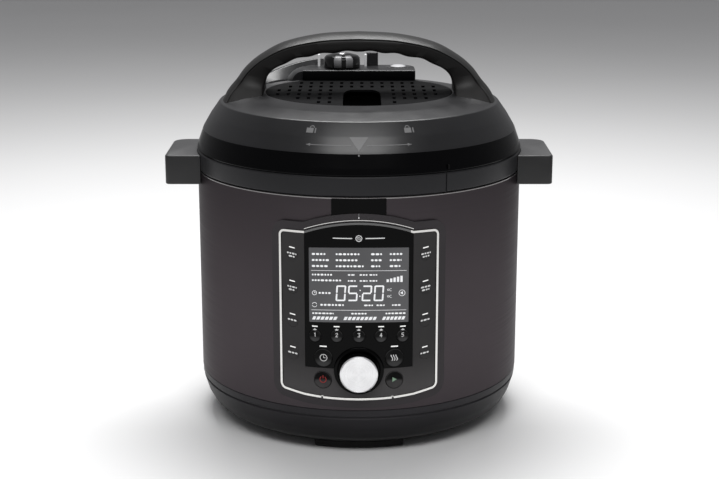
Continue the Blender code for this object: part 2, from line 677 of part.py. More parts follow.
def control_board():
    foot, top = DIAL_HEIGHT - 0.014, PANEL_HIGH - 0.0045
    half, back = GLASS_HALF_WIDTH - GAP, BOARD_FRONT + 0.0016
    board = box("control_board", (-half, BOARD_FRONT, foot), (half, back, top), BOARD_GREEN)
    half = 0.007
    low = (-half, BOARD_FRONT - 0.0022, DIAL_HEIGHT - half)
    high = (half, BOARD_FRONT + 0.0005, DIAL_HEIGHT + half)
    return join(board, box("encoder", low, high))


def dial():
    bore = SHAFT_RADIUS + GAP
    rim = DIAL_RADIUS + 0.0013
    face = PANEL_FACE + 0.0014
    profile = [(bore, RING_BACK), (DIAL_RING_RADIUS, RING_BACK), (DIAL_RING_RADIUS, face), (rim, face)]
    profile += [(rim, RING_BACK + 0.002), (bore, RING_BACK + 0.002)]
    facing_front(turn("dial_ring", profile, BLACK_PLASTIC, INNER_ROUND), DIAL_HEIGHT)

    shaft = disc(SHAFT_RADIUS, SHAFT_BACK, SHAFT_FRONT)
    facing_front(turn("dial_shaft", shaft, BRIGHT_STEEL, SMALL_ROUND), DIAL_HEIGHT)

    bevel = 0.0008
    profile = [(0, DIAL_FRONT), (DIAL_RADIUS - bevel, DIAL_FRONT), (DIAL_RADIUS, DIAL_FRONT - bevel)]
    profile += [(DIAL_RADIUS, DIAL_BACK), (bore, DIAL_BACK), (bore, SHAFT_FRONT + GAP), (0, SHAFT_FRONT + GAP)]
    facing_front(turn("dial_knob", profile, SILVER, INNER_ROUND), DIAL_HEIGHT)


# ---------------------------------------------------------------- lid: cover and handle


def lid_outside(rise=0.0):
    """The lid's outer outline, from the skirt's lower edge up to the cover's recess."""
    return [
        (SHELL_RADIUS - 0.0002, COLLAR_HIGH + rise),
        (SHELL_RADIUS + 0.0002, COLLAR_HIGH + 0.001 + rise),
        (SHELL_RADIUS - 0.0012, COLLAR_HIGH + 0.006 + rise),
        (CREASE_RADIUS, SKIRT_HIGH + rise),
        (CREASE_RADIUS - 0.0008, SKIRT_HIGH + 0.001 + rise),
        ((CREASE_RADIUS + RIDGE_RADIUS) / 2 + 0.0006, (SKIRT_HIGH + RIDGE) / 2 + rise),
        (RIDGE_RADIUS + 0.0008, RIDGE - 0.0014 + rise),
        (RIDGE_RADIUS - 0.0009, RIDGE + 0.0002 + rise),
        ((RIDGE_RADIUS + COVER_RADIUS) / 2, (RIDGE + LID_TOP) / 2 + 0.0008 + rise),
        (COVER_RADIUS + 0.0008, LID_TOP + rise),
        (COVER_RADIUS, LID_TOP - 0.0004 + rise),
    ]


def smooth_path(points, per_span):
    """Catmull-Rom curve through the points."""
    ends = [points[0]] + points + [points[-1]]
    path = []
    for a, b, c, d in zip(ends, ends[1:], ends[2:], ends[3:]):
        for step in range(per_span):
            t = step / per_span
            path.append(tuple(
                0.5 * (2 * q + (r - p) * t + (2 * p - 5 * q + 4 * r - s) * t**2 + (3 * q - p - 3 * r + s) * t**3)
                for p, q, r, s in zip(a, b, c, d)
            ))
    return path + [points[-1]]


def handle_arch():
    """The carrying arch: stations of (outer x, z, inner x, z, half depth), from foot to crown."""
    top, thick, half = ARCH_TOP, ARCH_THICKNESS, ARCH_HALF_DEPTH
    foot, reach, inner = LID_TOP - 0.014, RIDGE_RADIUS + 0.001, COVER_RADIUS + 0.001
    stations = [
        (reach, foot, inner, foot, half * 2.1),
        (reach - 0.0065, LID_TOP, inner, LID_TOP, half * 1.45),
        (reach - 0.0145, LID_TOP + 0.0100, inner - 0.001, LID_TOP + 0.0080, half * 1.12),
        (reach - 0.0230, top - 0.0290, inner - 0.0055, LID_TOP + 0.0165, half),
        (reach - 0.0360, top - 0.0185, inner - 0.0160, top - 0.0262, half),
        (reach - 0.0560, top - 0.0083, inner - 0.0310, top - 0.0208, half),
        (reach - 0.0860, top - 0.0018, inner - 0.0540, top - thick - 0.0018, half),
        (0, top, 0, top - thick, half),
    ]
    right = smooth_path(stations, 2)
    left = [(-a, b, -c, d, w) for a, b, c, d, w in reversed(right[:-1])]
    section = [(0, 0.72), (0.12, 0.95), (0.5, 1.0), (0.85, 0.94), (0.97, 0.75), (1.0, 0.4)]
    section += [(t, -w) for t, w in reversed(section)]
    builder = bmesh.new()
    rings = []
    for outer_x, outer_z, inner_x, inner_z, depth in right + left:
        ring = []
        for t, w in section:
            x, z = inner_x + (outer_x - inner_x) * t, inner_z + (outer_z - inner_z) * t
            ring.append(builder.verts.new((x, depth * w, z)))
        rings.append(ring)
    for first, second in zip(rings, rings[1:]):
        for index in range(len(section)):
            after = (index + 1) % len(section)
            builder.faces.new((first[index], first[after], second[after], second[index]))
    builder.faces.new(rings[0])
    builder.faces.new(rings[-1])
    return add_object("handle_arch", builder)


def steam_shroud():
    """Low curved wall behind the valve block, highest at its rear end."""
    outline = ring_sector(SHROUD_INNER, SHROUD_OUTER, SHROUD_MIDDLE, SHROUD_HALF_ANGLE, 8)
    wall = prism("steam_shroud", outline, LID_TOP - 0.012, BLOCK_TOP)
    start = math.radians(SHROUD_MIDDLE - SHROUD_HALF_ANGLE)
    for vert in wall.data.vertices:
        if vert.co.z > LID_TOP:
            share = (math.atan2(vert.co.y, vert.co.x) - start) / math.radians(2 * SHROUD_HALF_ANGLE)
            vert.co.z = BLOCK_TOP + 0.0055 - 0.0165 * max(0.0, share) ** 1.6
    return wall


def upright_hole(name, x, y, radius, high=LID_TOP + 0.0233):
    low = COLLAR_HIGH - 0.001
    return turn(name, disc(radius, low, high), None, SMALL_ROUND, (x, y))


def lid_cover():
    solid = lid_outside() + [(0, LID_TOP - 0.0004), (0, COLLAR_HIGH)]
    cover = turn("lid_cover", solid, BLACK_PLASTIC)
    join(cover, handle_arch(), steam_shroud())

    roof = LID_FLOOR - LID_WALL
    wall = COVER_RADIUS + LID_WALL
    cavity = [(0, COLLAR_HIGH - 0.01), (0, roof), (wall, roof), (wall + 0.001, LID_TOP - LID_WALL)]
    cavity += [(RIDGE_RADIUS - LID_WALL, RIDGE - LID_WALL), (CREASE_RADIUS - LID_WALL, SKIRT_HIGH)]
    inner = SHELL_RADIUS - LID_WALL
    cavity += [(inner - 0.0004, COLLAR_HIGH + 0.003), (inner, COLLAR_HIGH - 0.01)]
    recess = [(0, LID_TOP + 0.003), (COVER_RADIUS, LID_TOP + 0.003), (COVER_RADIUS, COVER_LEDGE)]
    recess += [(COVER_RADIUS - LEDGE_WIDTH, COVER_LEDGE), (COVER_RADIUS - LEDGE_WIDTH, LID_FLOOR), (0, LID_FLOOR)]
    cut(cover, turn("lid_cavity", cavity), turn("cover_recess", recess))

    boss = disc(0.009, PLATE_TOP + GAP, LID_FLOOR - 0.001)
    join(cover, turn("lid_boss", boss, None, SMALL_ROUND))
    front, back = -(COVER_RADIUS - 0.015), BUTTON_BACK - 0.008
    for side in (-1, 1):
        middle, half = BUTTON_X + side * (BUTTON_HALF_WIDTH + 0.0012), 0.001
        low, high = (middle - half, front, LID_FLOOR - 0.001), (middle + half, back, COVER_LEDGE - 0.0006)
        join(cover, box(f"button_guide_{side}", low, high))
    cut(cover, upright_hole("pipe_hole_cover", VALVE_X, VALVE_Y, PIPE_RADIUS + 0.0006, BLOCK_TOP))
    cut(cover, upright_hole("float_hole_cover", FLOAT_X, FLOAT_Y, STEM_RADIUS + 0.0008, BLOCK_TOP))
    return cover


def cover_slot(name, shrink, low, high):
    """Slot for the release button: rounded at the back, open at the front."""
    edge, back, corner = BUTTON_HALF_WIDTH - shrink, BUTTON_BACK - shrink, 0.008
    front = -(COVER_RADIUS + 0.0115) if shrink == 0 else -(COVER_RADIUS - LEDGE_WIDTH) + 0.0035
    outline = [(BUTTON_X - edge, front), (BUTTON_X + edge, front)]
    outline += arc(BUTTON_X + edge - corner, back - corner, corner, 0, 90, 4)
    outline += arc(BUTTON_X - edge + corner, back - corner, corner, 90, 180, 4)
    return prism(name, outline, low, high)


def perforations():
    """One cutter with a square bar for each hole of the cover."""
    builder = bmesh.new()
    reach = COVER_RADIUS - 0.006
    for row in range(-5, 5):
        for column in range(-8, 9):
            x, y = BUTTON_X + column * HOLE_PITCH_X, (row + 0.35) * HOLE_PITCH_Y
            beside_slot = abs(x - BUTTON_X) > BUTTON_HALF_WIDTH + PERFORATION or y > BUTTON_BACK + PERFORATION
            if math.hypot(x, y) < reach and y < BLOCK_FRONT - 0.006 and beside_slot:
                size = Matrix.Diagonal((PERFORATION, 2 * PERFORATION, 0.02, 1))
                place = Matrix.Translation((x, y, COVER_LEDGE)) @ size
                bmesh.ops.create_cube(builder, size=1, matrix=place)
    return add_object("perforations", builder)


def diffuser_cover():
    radius = COVER_RADIUS - GAP
    angle = math.degrees(math.asin((BLOCK_FRONT - GAP) / radius))
    outline = arc(0, 0, radius, 180 - angle, 360 + angle, 40)
    cover = prism("diffuser_cover", outline, COVER_LEDGE + GAP, LID_TOP - 0.0002, BLACK_PLASTIC)
    return cut(cover, cover_slot("button_slot", 0, LID_TOP - 0.03, LID_TOP + 0.03), perforations())


def quick_release_button():
    button = cover_slot("quick_release_button", 0.0004, LID_FLOOR + 0.0026, COVER_LEDGE - 0.0012)
    button.data.materials.append(GLOSS_BLACK)
    return button


# ---------------------------------------------------------------- lid: valves


def steam_housing():
    """Valve block on the lid's rear, hollow underneath, shaped to the cover below it."""
    front, back, edge, corner = BLOCK_FRONT, BLOCK_BACK, BLOCK_HALF_WIDTH, BLOCK_CORNER
    outline = [(-edge, front), (edge, front)] + arc(edge - corner, back - corner, corner, 0, 90, 4)
    outline += arc(-edge + corner, back - corner, corner, 90, 180, 4)
    block = prism("steam_housing", outline, LID_FLOOR - 0.004, BLOCK_TOP, BLACK_PLASTIC)
    hollow = inset(outline, BLOCK_WALL)
    cut(block, prism("housing_hollow", hollow, LID_FLOOR - 0.01, BLOCK_TOP - 0.0022))
    inner = COVER_RADIUS - LEDGE_WIDTH - 0.0006
    ledge, edge_radius = COVER_LEDGE + GAP, COVER_RADIUS - 0.0004
    deep = COLLAR_HIGH + 0.009
    below = [(0, deep), (0, LID_FLOOR + GAP), (inner, LID_FLOOR + GAP), (inner, ledge), (edge_radius, ledge)]
    below += [(edge_radius, LID_TOP + GAP)] + list(reversed(lid_outside(GAP)[:-1])) 
    below += [(SHELL_RADIUS - 0.0002, deep)]
    cut(block, turn("housing_seat", below))
    cut(block, upright_hole("pipe_hole_block", VALVE_X, VALVE_Y, PIPE_RADIUS + 0.0005))
    cut(block, upright_hole("float_hole_block", FLOAT_X, FLOAT_Y, STEM_RADIUS + 0.0005))
    for index, x in enumerate((VALVE_X - 0.0208, VALVE_X + 0.0212)):
        low = (x - 0.0011, VALVE_Y + 0.006, BLOCK_TOP - 0.001)
        join(block, box(f"valve_guard_{index}", low, (x + 0.0011, VALVE_Y + 0.0125, BLOCK_TOP + 0.0106)))
    upright = (VALVE_X + 0.0220, back - 0.0055, BLOCK_TOP - 0.001)
    join(block, box("rear_upright", upright, (VALVE_X + 0.0325, back - 0.0012, BLOCK_TOP + 0.0118)))
    return block


def steam_pipe():
    nut_top = PLATE_TOP - PLATE_WALL - GAP
    top, bore, nut = BLOCK_TOP + PIPE_RISE, 0.0018, 0.0085
    profile = [(bore, top), (PIPE_RADIUS, top), (PIPE_RADIUS, nut_top)]
    profile += [(nut, nut_top), (nut, nut_top - 0.003), (PIPE_RADIUS, nut_top - 0.003)]
    profile += [(PIPE_RADIUS, nut_top - 0.007), (bore, nut_top - 0.007)]
    return turn("steam_pipe", profile, BRIGHT_STEEL, SMALL_ROUND, (VALVE_X, VALVE_Y))


def anti_block_shield():
    top = PLATE_TOP - PLATE_WALL - GAP - 0.0035
    outer, inner, low, floor = 0.0095, 0.0082, top - 0.012, top - 0.0105
    profile = [(outer, top), (outer, low), (0, low), (0, floor), (inner, floor), (inner, top)]
    return turn("anti_block_shield", profile, BRIGHT_STEEL, SMALL_ROUND, (VALVE_X, VALVE_Y))


def steam_release_valve():
    low = BLOCK_TOP + GAP
    high = low + VALVE_HEIGHT
    bore, seat = PIPE_RADIUS + 0.0004, BLOCK_TOP + PIPE_RISE + GAP
    profile = [(0, high), (VALVE_RADIUS * 0.45, high - 0.0004), (VALVE_RADIUS - 0.0022, high - 0.0026)]
    profile += [(VALVE_RADIUS, high - 0.0048), (VALVE_RADIUS, low + 0.0005), (VALVE_RADIUS - 0.0005, low)]
    profile += [(bore, low), (bore, seat), (0, seat)]
    return turn("steam_release_valve", profile, GLOSS_BLACK, 24, (VALVE_X, VALVE_Y))


def float_valve():
    low = BLOCK_TOP + GAP
    foot, foot_top, foot_radius = FLOAT_FOOT, FLOAT_FOOT + FLOAT_FOOT_THICKNESS, 0.0036
    profile = [(0, low + 0.0018), (FLOAT_RADIUS * 0.6, low + 0.0015), (FLOAT_RADIUS, low + 0.0006)]
    profile += [(FLOAT_RADIUS, low), (STEM_RADIUS, low), (STEM_RADIUS, foot_top)]
    profile += [(foot_radius, foot_top), (foot_radius, foot), (0, foot)]
    return turn("float_valve", profile, SILVER, SMALL_ROUND, (FLOAT_X, FLOAT_Y))


def float_valve_seal():
    foot = FLOAT_FOOT + FLOAT_FOOT_THICKNESS + GAP
    bore = STEM_RADIUS + GAP
    profile = [(bore, foot + 0.0055), (0.0045, foot + 0.0055), (0.0055, foot + 0.002), (0.0055, foot), (bore, foot)]
    return turn("float_valve_seal", profile, SILICONE, SMALL_ROUND, (FLOAT_X, FLOAT_Y))


# ---------------------------------------------------------------- lid: pressure plate


def lid_plate():
    wall, rim, low = PLATE_WALL, PLATE_RIM_TOP, LID_LUG_TOP - 0.0023
    shoulder, foot = PLATE_RADIUS - 0.0143, PLATE_RADIUS - 0.0091
    profile = [(0, PLATE_TOP), (shoulder, PLATE_TOP), (foot, rim), (PLATE_RADIUS, rim), (PLATE_RADIUS, low)]
    profile += [(PLATE_RADIUS - wall, low), (PLATE_RADIUS - wall, rim - wall), (foot - wall * 0.8, rim - wall)]
    profile += [(shoulder - wall * 0.8, PLATE_TOP - wall), (0, PLATE_TOP - wall)]
    plate = turn("lid_plate", profile, BRIGHT_STEEL)
    for index in range(LUG_COUNT):
        middle = 360 * (index + 0.5) / LUG_COUNT
        outline = ring_sector(PLATE_RADIUS - 0.0006, LINER_RADIUS - 0.001, middle, LUG_HALF_ANGLE - 1, 4)
        join(plate, prism(f"lid_lug_{index}", outline, LID_LUG_TOP - LUG_THICKNESS, LID_LUG_TOP))
    cut(plate, upright_hole("pipe_hole_plate", VALVE_X, VALVE_Y, PIPE_RADIUS + GAP))
    return cut(plate, upright_hole("float_hole_plate", FLOAT_X, FLOAT_Y, STEM_RADIUS + 0.0006))


def sealing_ring():
    outer, top, low = SEAL_OUTER, PLATE_RIM_TOP - PLATE_WALL - 0.0004, POT_RIM + GAP
    inner, lip = outer - SEAL_WIDTH, 0.0035
    profile = [(inner, low + 0.002), (inner + 0.002, low), (outer, low), (outer, low + 0.002)]
    profile += [(outer - lip, low + 0.0035), (outer - lip, top - 0.0045), (outer, top - 0.0035)]
    return turn("sealing_ring", profile + [(outer, top), (inner, top)], SILICONE)


def sealing_ring_rack():
    outer, top = SEAL_OUTER - SEAL_WIDTH - 0.0004, PLATE_RIM_TOP - PLATE_WALL - 0.0012
    return turn("sealing_ring_rack", tube(outer - 0.0028, outer, top - 0.008, top), BRIGHT_STEEL, INNER_ROUND)


def locking_pin():
    low, half, tip = PLATE_RIM_TOP + 0.0004, 0.003, -(LINER_RADIUS + 0.0017)
    pin = box("locking_pin", (-half, tip, low), (half, tip + PIN_LENGTH, low + 0.0045), BRIGHT_STEEL)
    pin.rotation_euler.z = math.radians(PIN_ANGLE)
    return pin


def seat_on_origin():
    """Carries every object on one empty, so that the origin is the middle of the footprint."""
    vessel = bpy.data.objects.new("vessel_axis", None)
    bpy.context.scene.collection.objects.link(vessel)
    vessel.location.y = (DIAL_FRONT - CUP_BACK) / 2
    for made in bpy.data.objects:
        if made is not vessel:
            made.parent = vessel


def build():
    feet()
    base_ring()
    bottom_cover()
    power_board()
    outer_shell()
    upper_collar()
    condensation_cup()
    side_handle("side_handle_right", 1)
    side_handle("side_handle_left", -1)
    power_inlet()
    inner_housing()
    heating_plate()
    temperature_sensor()
    sensor_spring()
    inner_pot()
    control_panel()
    keys()
    display_module()
    control_board()
    dial()
    lid_cover()
    diffuser_cover()
    quick_release_button()
    steam_housing()
    steam_pipe()
    anti_block_shield()
    steam_release_valve()
    float_valve()
    float_valve_seal()
    lid_plate()
    sealing_ring()
    sealing_ring_rack()
    locking_pin()
    seat_on_origin()


build()
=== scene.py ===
"""Looks of the electric pressure cooker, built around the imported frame.

Metres, +Z up, front towards -Y. Pieces are modelled about the vessel's upright axis
and then carried to it, so most places below are measured from that axis.
"""

import math
import random

import bmesh
import bpy
from mathutils import Matrix, Vector


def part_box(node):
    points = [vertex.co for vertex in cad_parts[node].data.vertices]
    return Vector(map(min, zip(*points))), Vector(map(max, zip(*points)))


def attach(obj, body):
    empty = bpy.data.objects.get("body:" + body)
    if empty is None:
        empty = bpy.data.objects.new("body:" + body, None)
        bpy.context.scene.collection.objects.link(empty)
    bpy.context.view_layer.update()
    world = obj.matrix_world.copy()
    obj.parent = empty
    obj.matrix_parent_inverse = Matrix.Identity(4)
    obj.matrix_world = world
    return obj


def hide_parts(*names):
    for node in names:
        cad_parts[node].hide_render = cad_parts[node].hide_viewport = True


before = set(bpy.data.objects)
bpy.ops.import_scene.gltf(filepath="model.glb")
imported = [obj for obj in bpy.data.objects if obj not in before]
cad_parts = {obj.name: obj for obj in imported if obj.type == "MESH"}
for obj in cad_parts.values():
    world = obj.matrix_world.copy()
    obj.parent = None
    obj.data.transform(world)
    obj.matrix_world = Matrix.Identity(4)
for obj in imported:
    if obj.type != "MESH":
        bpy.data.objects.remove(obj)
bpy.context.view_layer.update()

# ---------------------------------------------------------------- sizes read from the frame


def low(node):
    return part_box(node)[0]


def high(node):
    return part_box(node)[1]


GAP = 0.0003
AXIS_Y = (low("outer_shell").y + high("outer_shell").y) / 2
SHELL = high("outer_shell").x
STEEL_LOW, STEEL_HIGH = low("outer_shell").z, high("outer_shell").z
COLLAR_HIGH = low("lid_cover").z
COVER_TOP = high("diffuser_cover").z
LID_TOP = COVER_TOP + 0.0002
RIDGE = LID_TOP - 0.006
SKIRT_HIGH = RIDGE - 0.0225
CREASE_RADIUS, RIDGE_RADIUS = SHELL - 0.0048, SHELL - 0.0200
COVER_RADIUS = high("diffuser_cover").x + GAP
COVER_LEDGE = low("diffuser_cover").z - GAP
LID_FLOOR = LID_TOP - 0.013
ARCH_TOP = high("lid_cover").z
BASE_LOW, BASE_HIGH = low("base_ring").z, high("base_ring").z
BASE_OPENING = high("bottom_cover").x + GAP
PANEL_FACE = SHELL + 0.0025
PANEL_BACK = SHELL + GAP
PANEL_LOW, PANEL_CROWN = low("panel_trim").z, high("panel_trim").z
PANEL_HIGH = PANEL_CROWN - 0.0082
PANEL_HALF_WIDTH = 0.0635
GLASS_HALF_WIDTH = 0.0423
TRIM_WIDTH = 0.0017
DIAL_HEIGHT = (low("dial_knob").z + high("dial_knob").z) / 2
DIAL_FRONT, DIAL_BACK = AXIS_Y - low("dial_knob").y, AXIS_Y - high("dial_knob").y
DIAL_RADIUS = high("dial_knob").x
RING_BACK = AXIS_Y - high("dial_ring").y
RING_RADIUS = high("dial_ring").x
BLOCK_TOP = high("steam_release_valve").z - 0.0128
VALVE_X = (low("steam_release_valve").x + high("steam_release_valve").x) / 2
VALVE_Y = (low("steam_release_valve").y + high("steam_release_valve").y) / 2 - AXIS_Y
FLOAT_X = (low("float_valve").x + high("float_valve").x) / 2
FLOAT_Y = (low("float_valve").y + high("float_valve").y) / 2 - AXIS_Y
BUTTON_X = (low("quick_release_button").x + high("quick_release_button").x) / 2
FINE, MEDIUM, COARSE = 240, 96, 48  # sides of a turned piece

# ---------------------------------------------------------------- materials


def nodes_of(name):
    made = bpy.data.materials.new(name)
    made.use_nodes = True
    tree = made.node_tree
    return made, tree, tree.nodes["Principled BSDF"]


def add_node(tree, kind, **values):
    node = tree.nodes.new(kind)
    for key, value in values.items():
        if key in node.inputs:
            node.inputs[key].default_value = value
        else:
            setattr(node, key, value)
    return node


def noise(tree, scale, stretch=(1, 1, 1), detail=3.0, source=None):
    """Noise in the piece's own coordinates, in metres, stretched along an axis if asked."""
    mapping = add_node(tree, "ShaderNodeMapping")
    mapping.inputs["Scale"].default_value = stretch
    if source is None:
        source = add_node(tree, "ShaderNodeTexCoord").outputs["Object"]
    tree.links.new(source, mapping.inputs["Vector"])
    texture = add_node(tree, "ShaderNodeTexNoise", Scale=scale, Detail=detail)
    tree.links.new(mapping.outputs["Vector"], texture.inputs["Vector"])
    return texture.outputs["Fac"]


def spread(tree, source, near, far, start=0.3, end=0.7):
    """Maps a noise value to a range of numbers."""
    node = add_node(tree, "ShaderNodeMapRange")
    for key, value in (("From Min", start), ("From Max", end), ("To Min", near), ("To Max", far)):
        node.inputs[key].default_value = value
    tree.links.new(source, node.inputs["Value"])
    return node.outputs["Result"]


def tint(tree, source, first, second):
    node = add_node(tree, "ShaderNodeMix", data_type="RGBA")
    node.inputs[6].default_value = (*first, 1)
    node.inputs[7].default_value = (*second, 1)
    tree.links.new(source, node.inputs["Factor"])
    return node.outputs[2]


def bump(tree, shader, source, distance, strength=1.0):
    node = add_node(tree, "ShaderNodeBump", Strength=strength, Distance=distance)
    tree.links.new(source, node.inputs["Height"])
    tree.links.new(node.outputs["Normal"], shader.inputs["Normal"])


def shades(colour, amount):
    return [c * (1 - amount) for c in colour], [min(1, c * (1 + amount)) for c in colour]


def plastic(name, colour, roughness, grain=0.00004, scale=2600, specular=0.35, uneven=0.12, shade=None):
    """Moulded plastic: fine spark-eroded grain, a faint cloudiness and handling marks.

    shade is (Object or Normal, low, high, factor at low, factor at high): painted light and shade,
    the colour changing with height on the piece, or with how far its surface faces upwards.
    """
    made, tree, shader = nodes_of(name)
    clouds = noise(tree, 14, detail=5)
    mottle_and_painted_shade = tint(tree, spread(tree, clouds, 0, 1), *shades(colour, uneven))
    # painted light and shade: the colour is scaled with height or with how far the surface faces upwards
    if shade:
        split = add_node(tree, "ShaderNodeSeparateXYZ")
        tree.links.new(add_node(tree, "ShaderNodeTexCoord").outputs[shade[0]], split.inputs[0])
        factor = spread(tree, split.outputs["Z"], shade[3], shade[4], shade[1], shade[2])
        scaled = add_node(tree, "ShaderNodeVectorMath", operation="SCALE")
        tree.links.new(mottle_and_painted_shade, scaled.inputs[0])
        tree.links.new(factor, scaled.inputs["Scale"])
        mottle_and_painted_shade = scaled.outputs[0]
    tree.links.new(mottle_and_painted_shade, shader.inputs["Base Color"])
    rub = noise(tree, 60, detail=6)
    tree.links.new(
        spread(tree, rub, roughness * 0.9, min(1, roughness * 1.12)), shader.inputs["Roughness"])
    if grain:
        bump(tree, shader, noise(tree, scale, detail=2), grain, 0.6)
    shader.inputs["Specular IOR Level"].default_value = specular
    return made


def radius_about(tree, axis, centre=(0, 0, 0)):
    """Distance from an axis through centre, in the piece's own coordinates."""
    coordinates = add_node(tree, "ShaderNodeTexCoord").outputs["Object"]
    flat = add_node(tree, "ShaderNodeVectorMath", operation="MULTIPLY")
    flat.inputs[1].default_value = (0, 1, 1) if axis == "X" else (1, 0, 1) if axis == "Y" else (1, 1, 0)
    away = add_node(tree, "ShaderNodeVectorMath", operation="SUBTRACT")
    away.inputs[1].default_value = centre
    size = add_node(tree, "ShaderNodeVectorMath", operation="LENGTH")
    tree.links.new(coordinates, away.inputs[0])
    tree.links.new(away.outputs[0], flat.inputs[0])
    tree.links.new(flat.outputs[0], size.inputs[0])
    return size.outputs["Value"], away.outputs[0]


def brushed(name, colour, roughness, spun=None, depth=0.000012, uneven=0.10, edge=1.0):
    """Metal with fine lines: level lines around a drum, or circles about an axis if spun."""
    made, tree, shader = nodes_of(name)
    if spun:
        radius, _ = radius_about(tree, spun)
        lines = noise(tree, 3800, detail=2, source=radius)
    else:
        lines = noise(tree, 1, stretch=(9, 9, 3200), detail=3)
    broad = noise(tree, 9, detail=3)
    tree.links.new(tint(tree, spread(tree, lines, 0, 1), *shades(colour, uneven)),
                   shader.inputs["Base Color"])
    mixed = add_node(tree, "ShaderNodeMath", operation="MULTIPLY")
    tree.links.new(spread(tree, lines, roughness * 0.85, roughness * 1.2), mixed.inputs[0])
    tree.links.new(spread(tree, broad, 0.94, 1.06), mixed.inputs[1])
    tree.links.new(mixed.outputs[0], shader.inputs["Roughness"])
    bump(tree, shader, lines, depth, 0.5)
    shader.inputs["Metallic"].default_value = 1.0
    shader.inputs["Specular Tint"].default_value = (edge, edge, edge, 1)
    return made


def turned_metal(name, colour, roughness, centre):
    """The dial's face: spun circles, with painted light and dark fans that stand in for the reflections
    such a face shows.
    """
    made, tree, shader = nodes_of(name)
    radius, offset = radius_about(tree, "Y", centre)
    lines = noise(tree, 5200, detail=2, source=radius)
    # painted reflection: the base colour goes lighter and darker in fans, four light and four dark, round
    # the centre
    split = add_node(tree, "ShaderNodeSeparateXYZ")
    tree.links.new(offset, split.inputs[0])
    angle = add_node(tree, "ShaderNodeMath", operation="ARCTAN2")
    tree.links.new(split.outputs["Z"], angle.inputs[0])
    tree.links.new(split.outputs["X"], angle.inputs[1])
    twice = add_node(tree, "ShaderNodeMath", operation="MULTIPLY")
    twice.inputs[1].default_value = 4.0
    tree.links.new(angle.outputs[0], twice.inputs[0])
    wave = add_node(tree, "ShaderNodeMath", operation="COSINE")
    tree.links.new(twice.outputs[0], wave.inputs[0])
    painted_fans = spread(tree, wave.outputs[0], 0.0, 1.0, -1.0, 1.0)
    base = add_node(tree, "ShaderNodeMix", data_type="RGBA")
    base.inputs[6].default_value = (*[c * 0.93 for c in colour], 1)
    base.inputs[7].default_value = (*colour, 1)
    tree.links.new(painted_fans, base.inputs["Factor"])
    tree.links.new(base.outputs[2], shader.inputs["Base Color"])
    tree.links.new(spread(tree, lines, roughness * 0.8, roughness * 1.3), shader.inputs["Roughness"])
    bump(tree, shader, lines, 0.00001, 0.4)
    shader.inputs["Metallic"].default_value = 0.85
    return made


def glowing(name, colour, strength):
    """Lit marks of the display and its lamps: pale print that glows a little."""
    made, tree, shader = nodes_of(name)
    cells = noise(tree, 700, detail=1)
    lit = tint(tree, spread(tree, cells, 0, 1), *shades(colour, 0.05))
    tree.links.new(lit, shader.inputs["Base Color"])
    tree.links.new(lit, shader.inputs["Emission Color"])
    shader.inputs["Emission Strength"].default_value = strength
    shader.inputs["Roughness"].default_value = 0.5
    return made


def clear_plastic(name):
    made, tree, shader = nodes_of(name)
    mist = noise(tree, 120, detail=4)
    tree.links.new(spread(tree, mist, 0.10, 0.22), shader.inputs["Roughness"])
    tree.links.new(tint(tree, mist, (0.80, 0.82, 0.84), (0.90, 0.92, 0.93)), shader.inputs["Base Color"])
    bump(tree, shader, noise(tree, 260), 0.00003, 0.3)
    shader.inputs["Transmission Weight"].default_value = 0.85
    shader.inputs["IOR"].default_value = 1.46
    return made


DARK_STEEL = brushed("dark_steel", (0.068, 0.0585, 0.0635), 0.42, uneven=0.06, edge=0.55)
BRIGHT_STEEL = brushed("bright_steel", (0.60, 0.59, 0.58), 0.24)
SPUN_STEEL = brushed("spun_steel", (0.62, 0.61, 0.60), 0.22, spun="Z")
ALUMINIUM = brushed("aluminium", (0.66, 0.66, 0.65), 0.38, spun="Z", depth=0.00003)
CHROME = brushed("chrome", (0.86, 0.86, 0.87), 0.10, depth=0.000002, uneven=0.02)
# painted highlight: the steel's top lip takes a paler metal than the drum, standing in for the bright line
# of light along it; its small bulge catches the overhead lamp as well
STEEL_EDGE_HIGHLIGHT = brushed("steel_edge_highlight", (0.26, 0.25, 0.25), 0.30)
TRIM_METAL = brushed("trim_metal", (0.80, 0.79, 0.77), 0.22, depth=0.000004, uneven=0.04)
DIAL_METAL = turned_metal("dial_metal", (0.90, 0.90, 0.91), 0.30, (0, -DIAL_FRONT, DIAL_HEIGHT))
LID_PLASTIC = plastic("lid_plastic", (0.0110, 0.0110, 0.0120), 0.31, specular=0.42)
ARCH_PLASTIC = plastic("arch_plastic", (0.0050, 0.0046, 0.0045), 0.42, specular=0.22)
# painted highlight: the handle's upward faces take this lighter copy of the handle plastic; the rest keeps
# the darker arch plastic
CROWN_HIGHLIGHT_PLASTIC = plastic("crown_painted_highlight", (0.0120, 0.0118, 0.0118), 0.40, specular=0.24)
# painted shade: a darker, weakly reflecting copy of the lid plastic for the skirt, the valve housing's
# front and the pointer nub
SKIRT_SHADE_PLASTIC = plastic("skirt_painted_shade", (0.0016, 0.0016, 0.0019), 0.22, grain=0.00001, specular=0.08)
COLLAR_PLASTIC = plastic("collar_plastic", (0.0150, 0.0150, 0.0165), 0.38, specular=0.22)
# painted light: the handle plastic is up to three times lighter where its faces turn upwards, darker on
# upright and lower faces
HANDLE_PLASTIC = plastic("handle_plastic", (0.0150, 0.0150, 0.0155), 0.46, grain=0.00007, specular=0.45,
                         shade=("Normal", 0.1, 0.9, 0.7, 2.1))
# painted shade: the base plastic darkens to a tenth of its colour towards the floor
BASE_PLASTIC = plastic("base_plastic", (0.0250, 0.0238, 0.0265), 0.42, specular=0.14,
                       shade=("Object", 0.010, 0.036, 0.10, 1.0))
COVER_PLASTIC = plastic("cover_plastic", (0.0040, 0.0040, 0.0044), 0.55, grain=0.00006, specular=0.035)
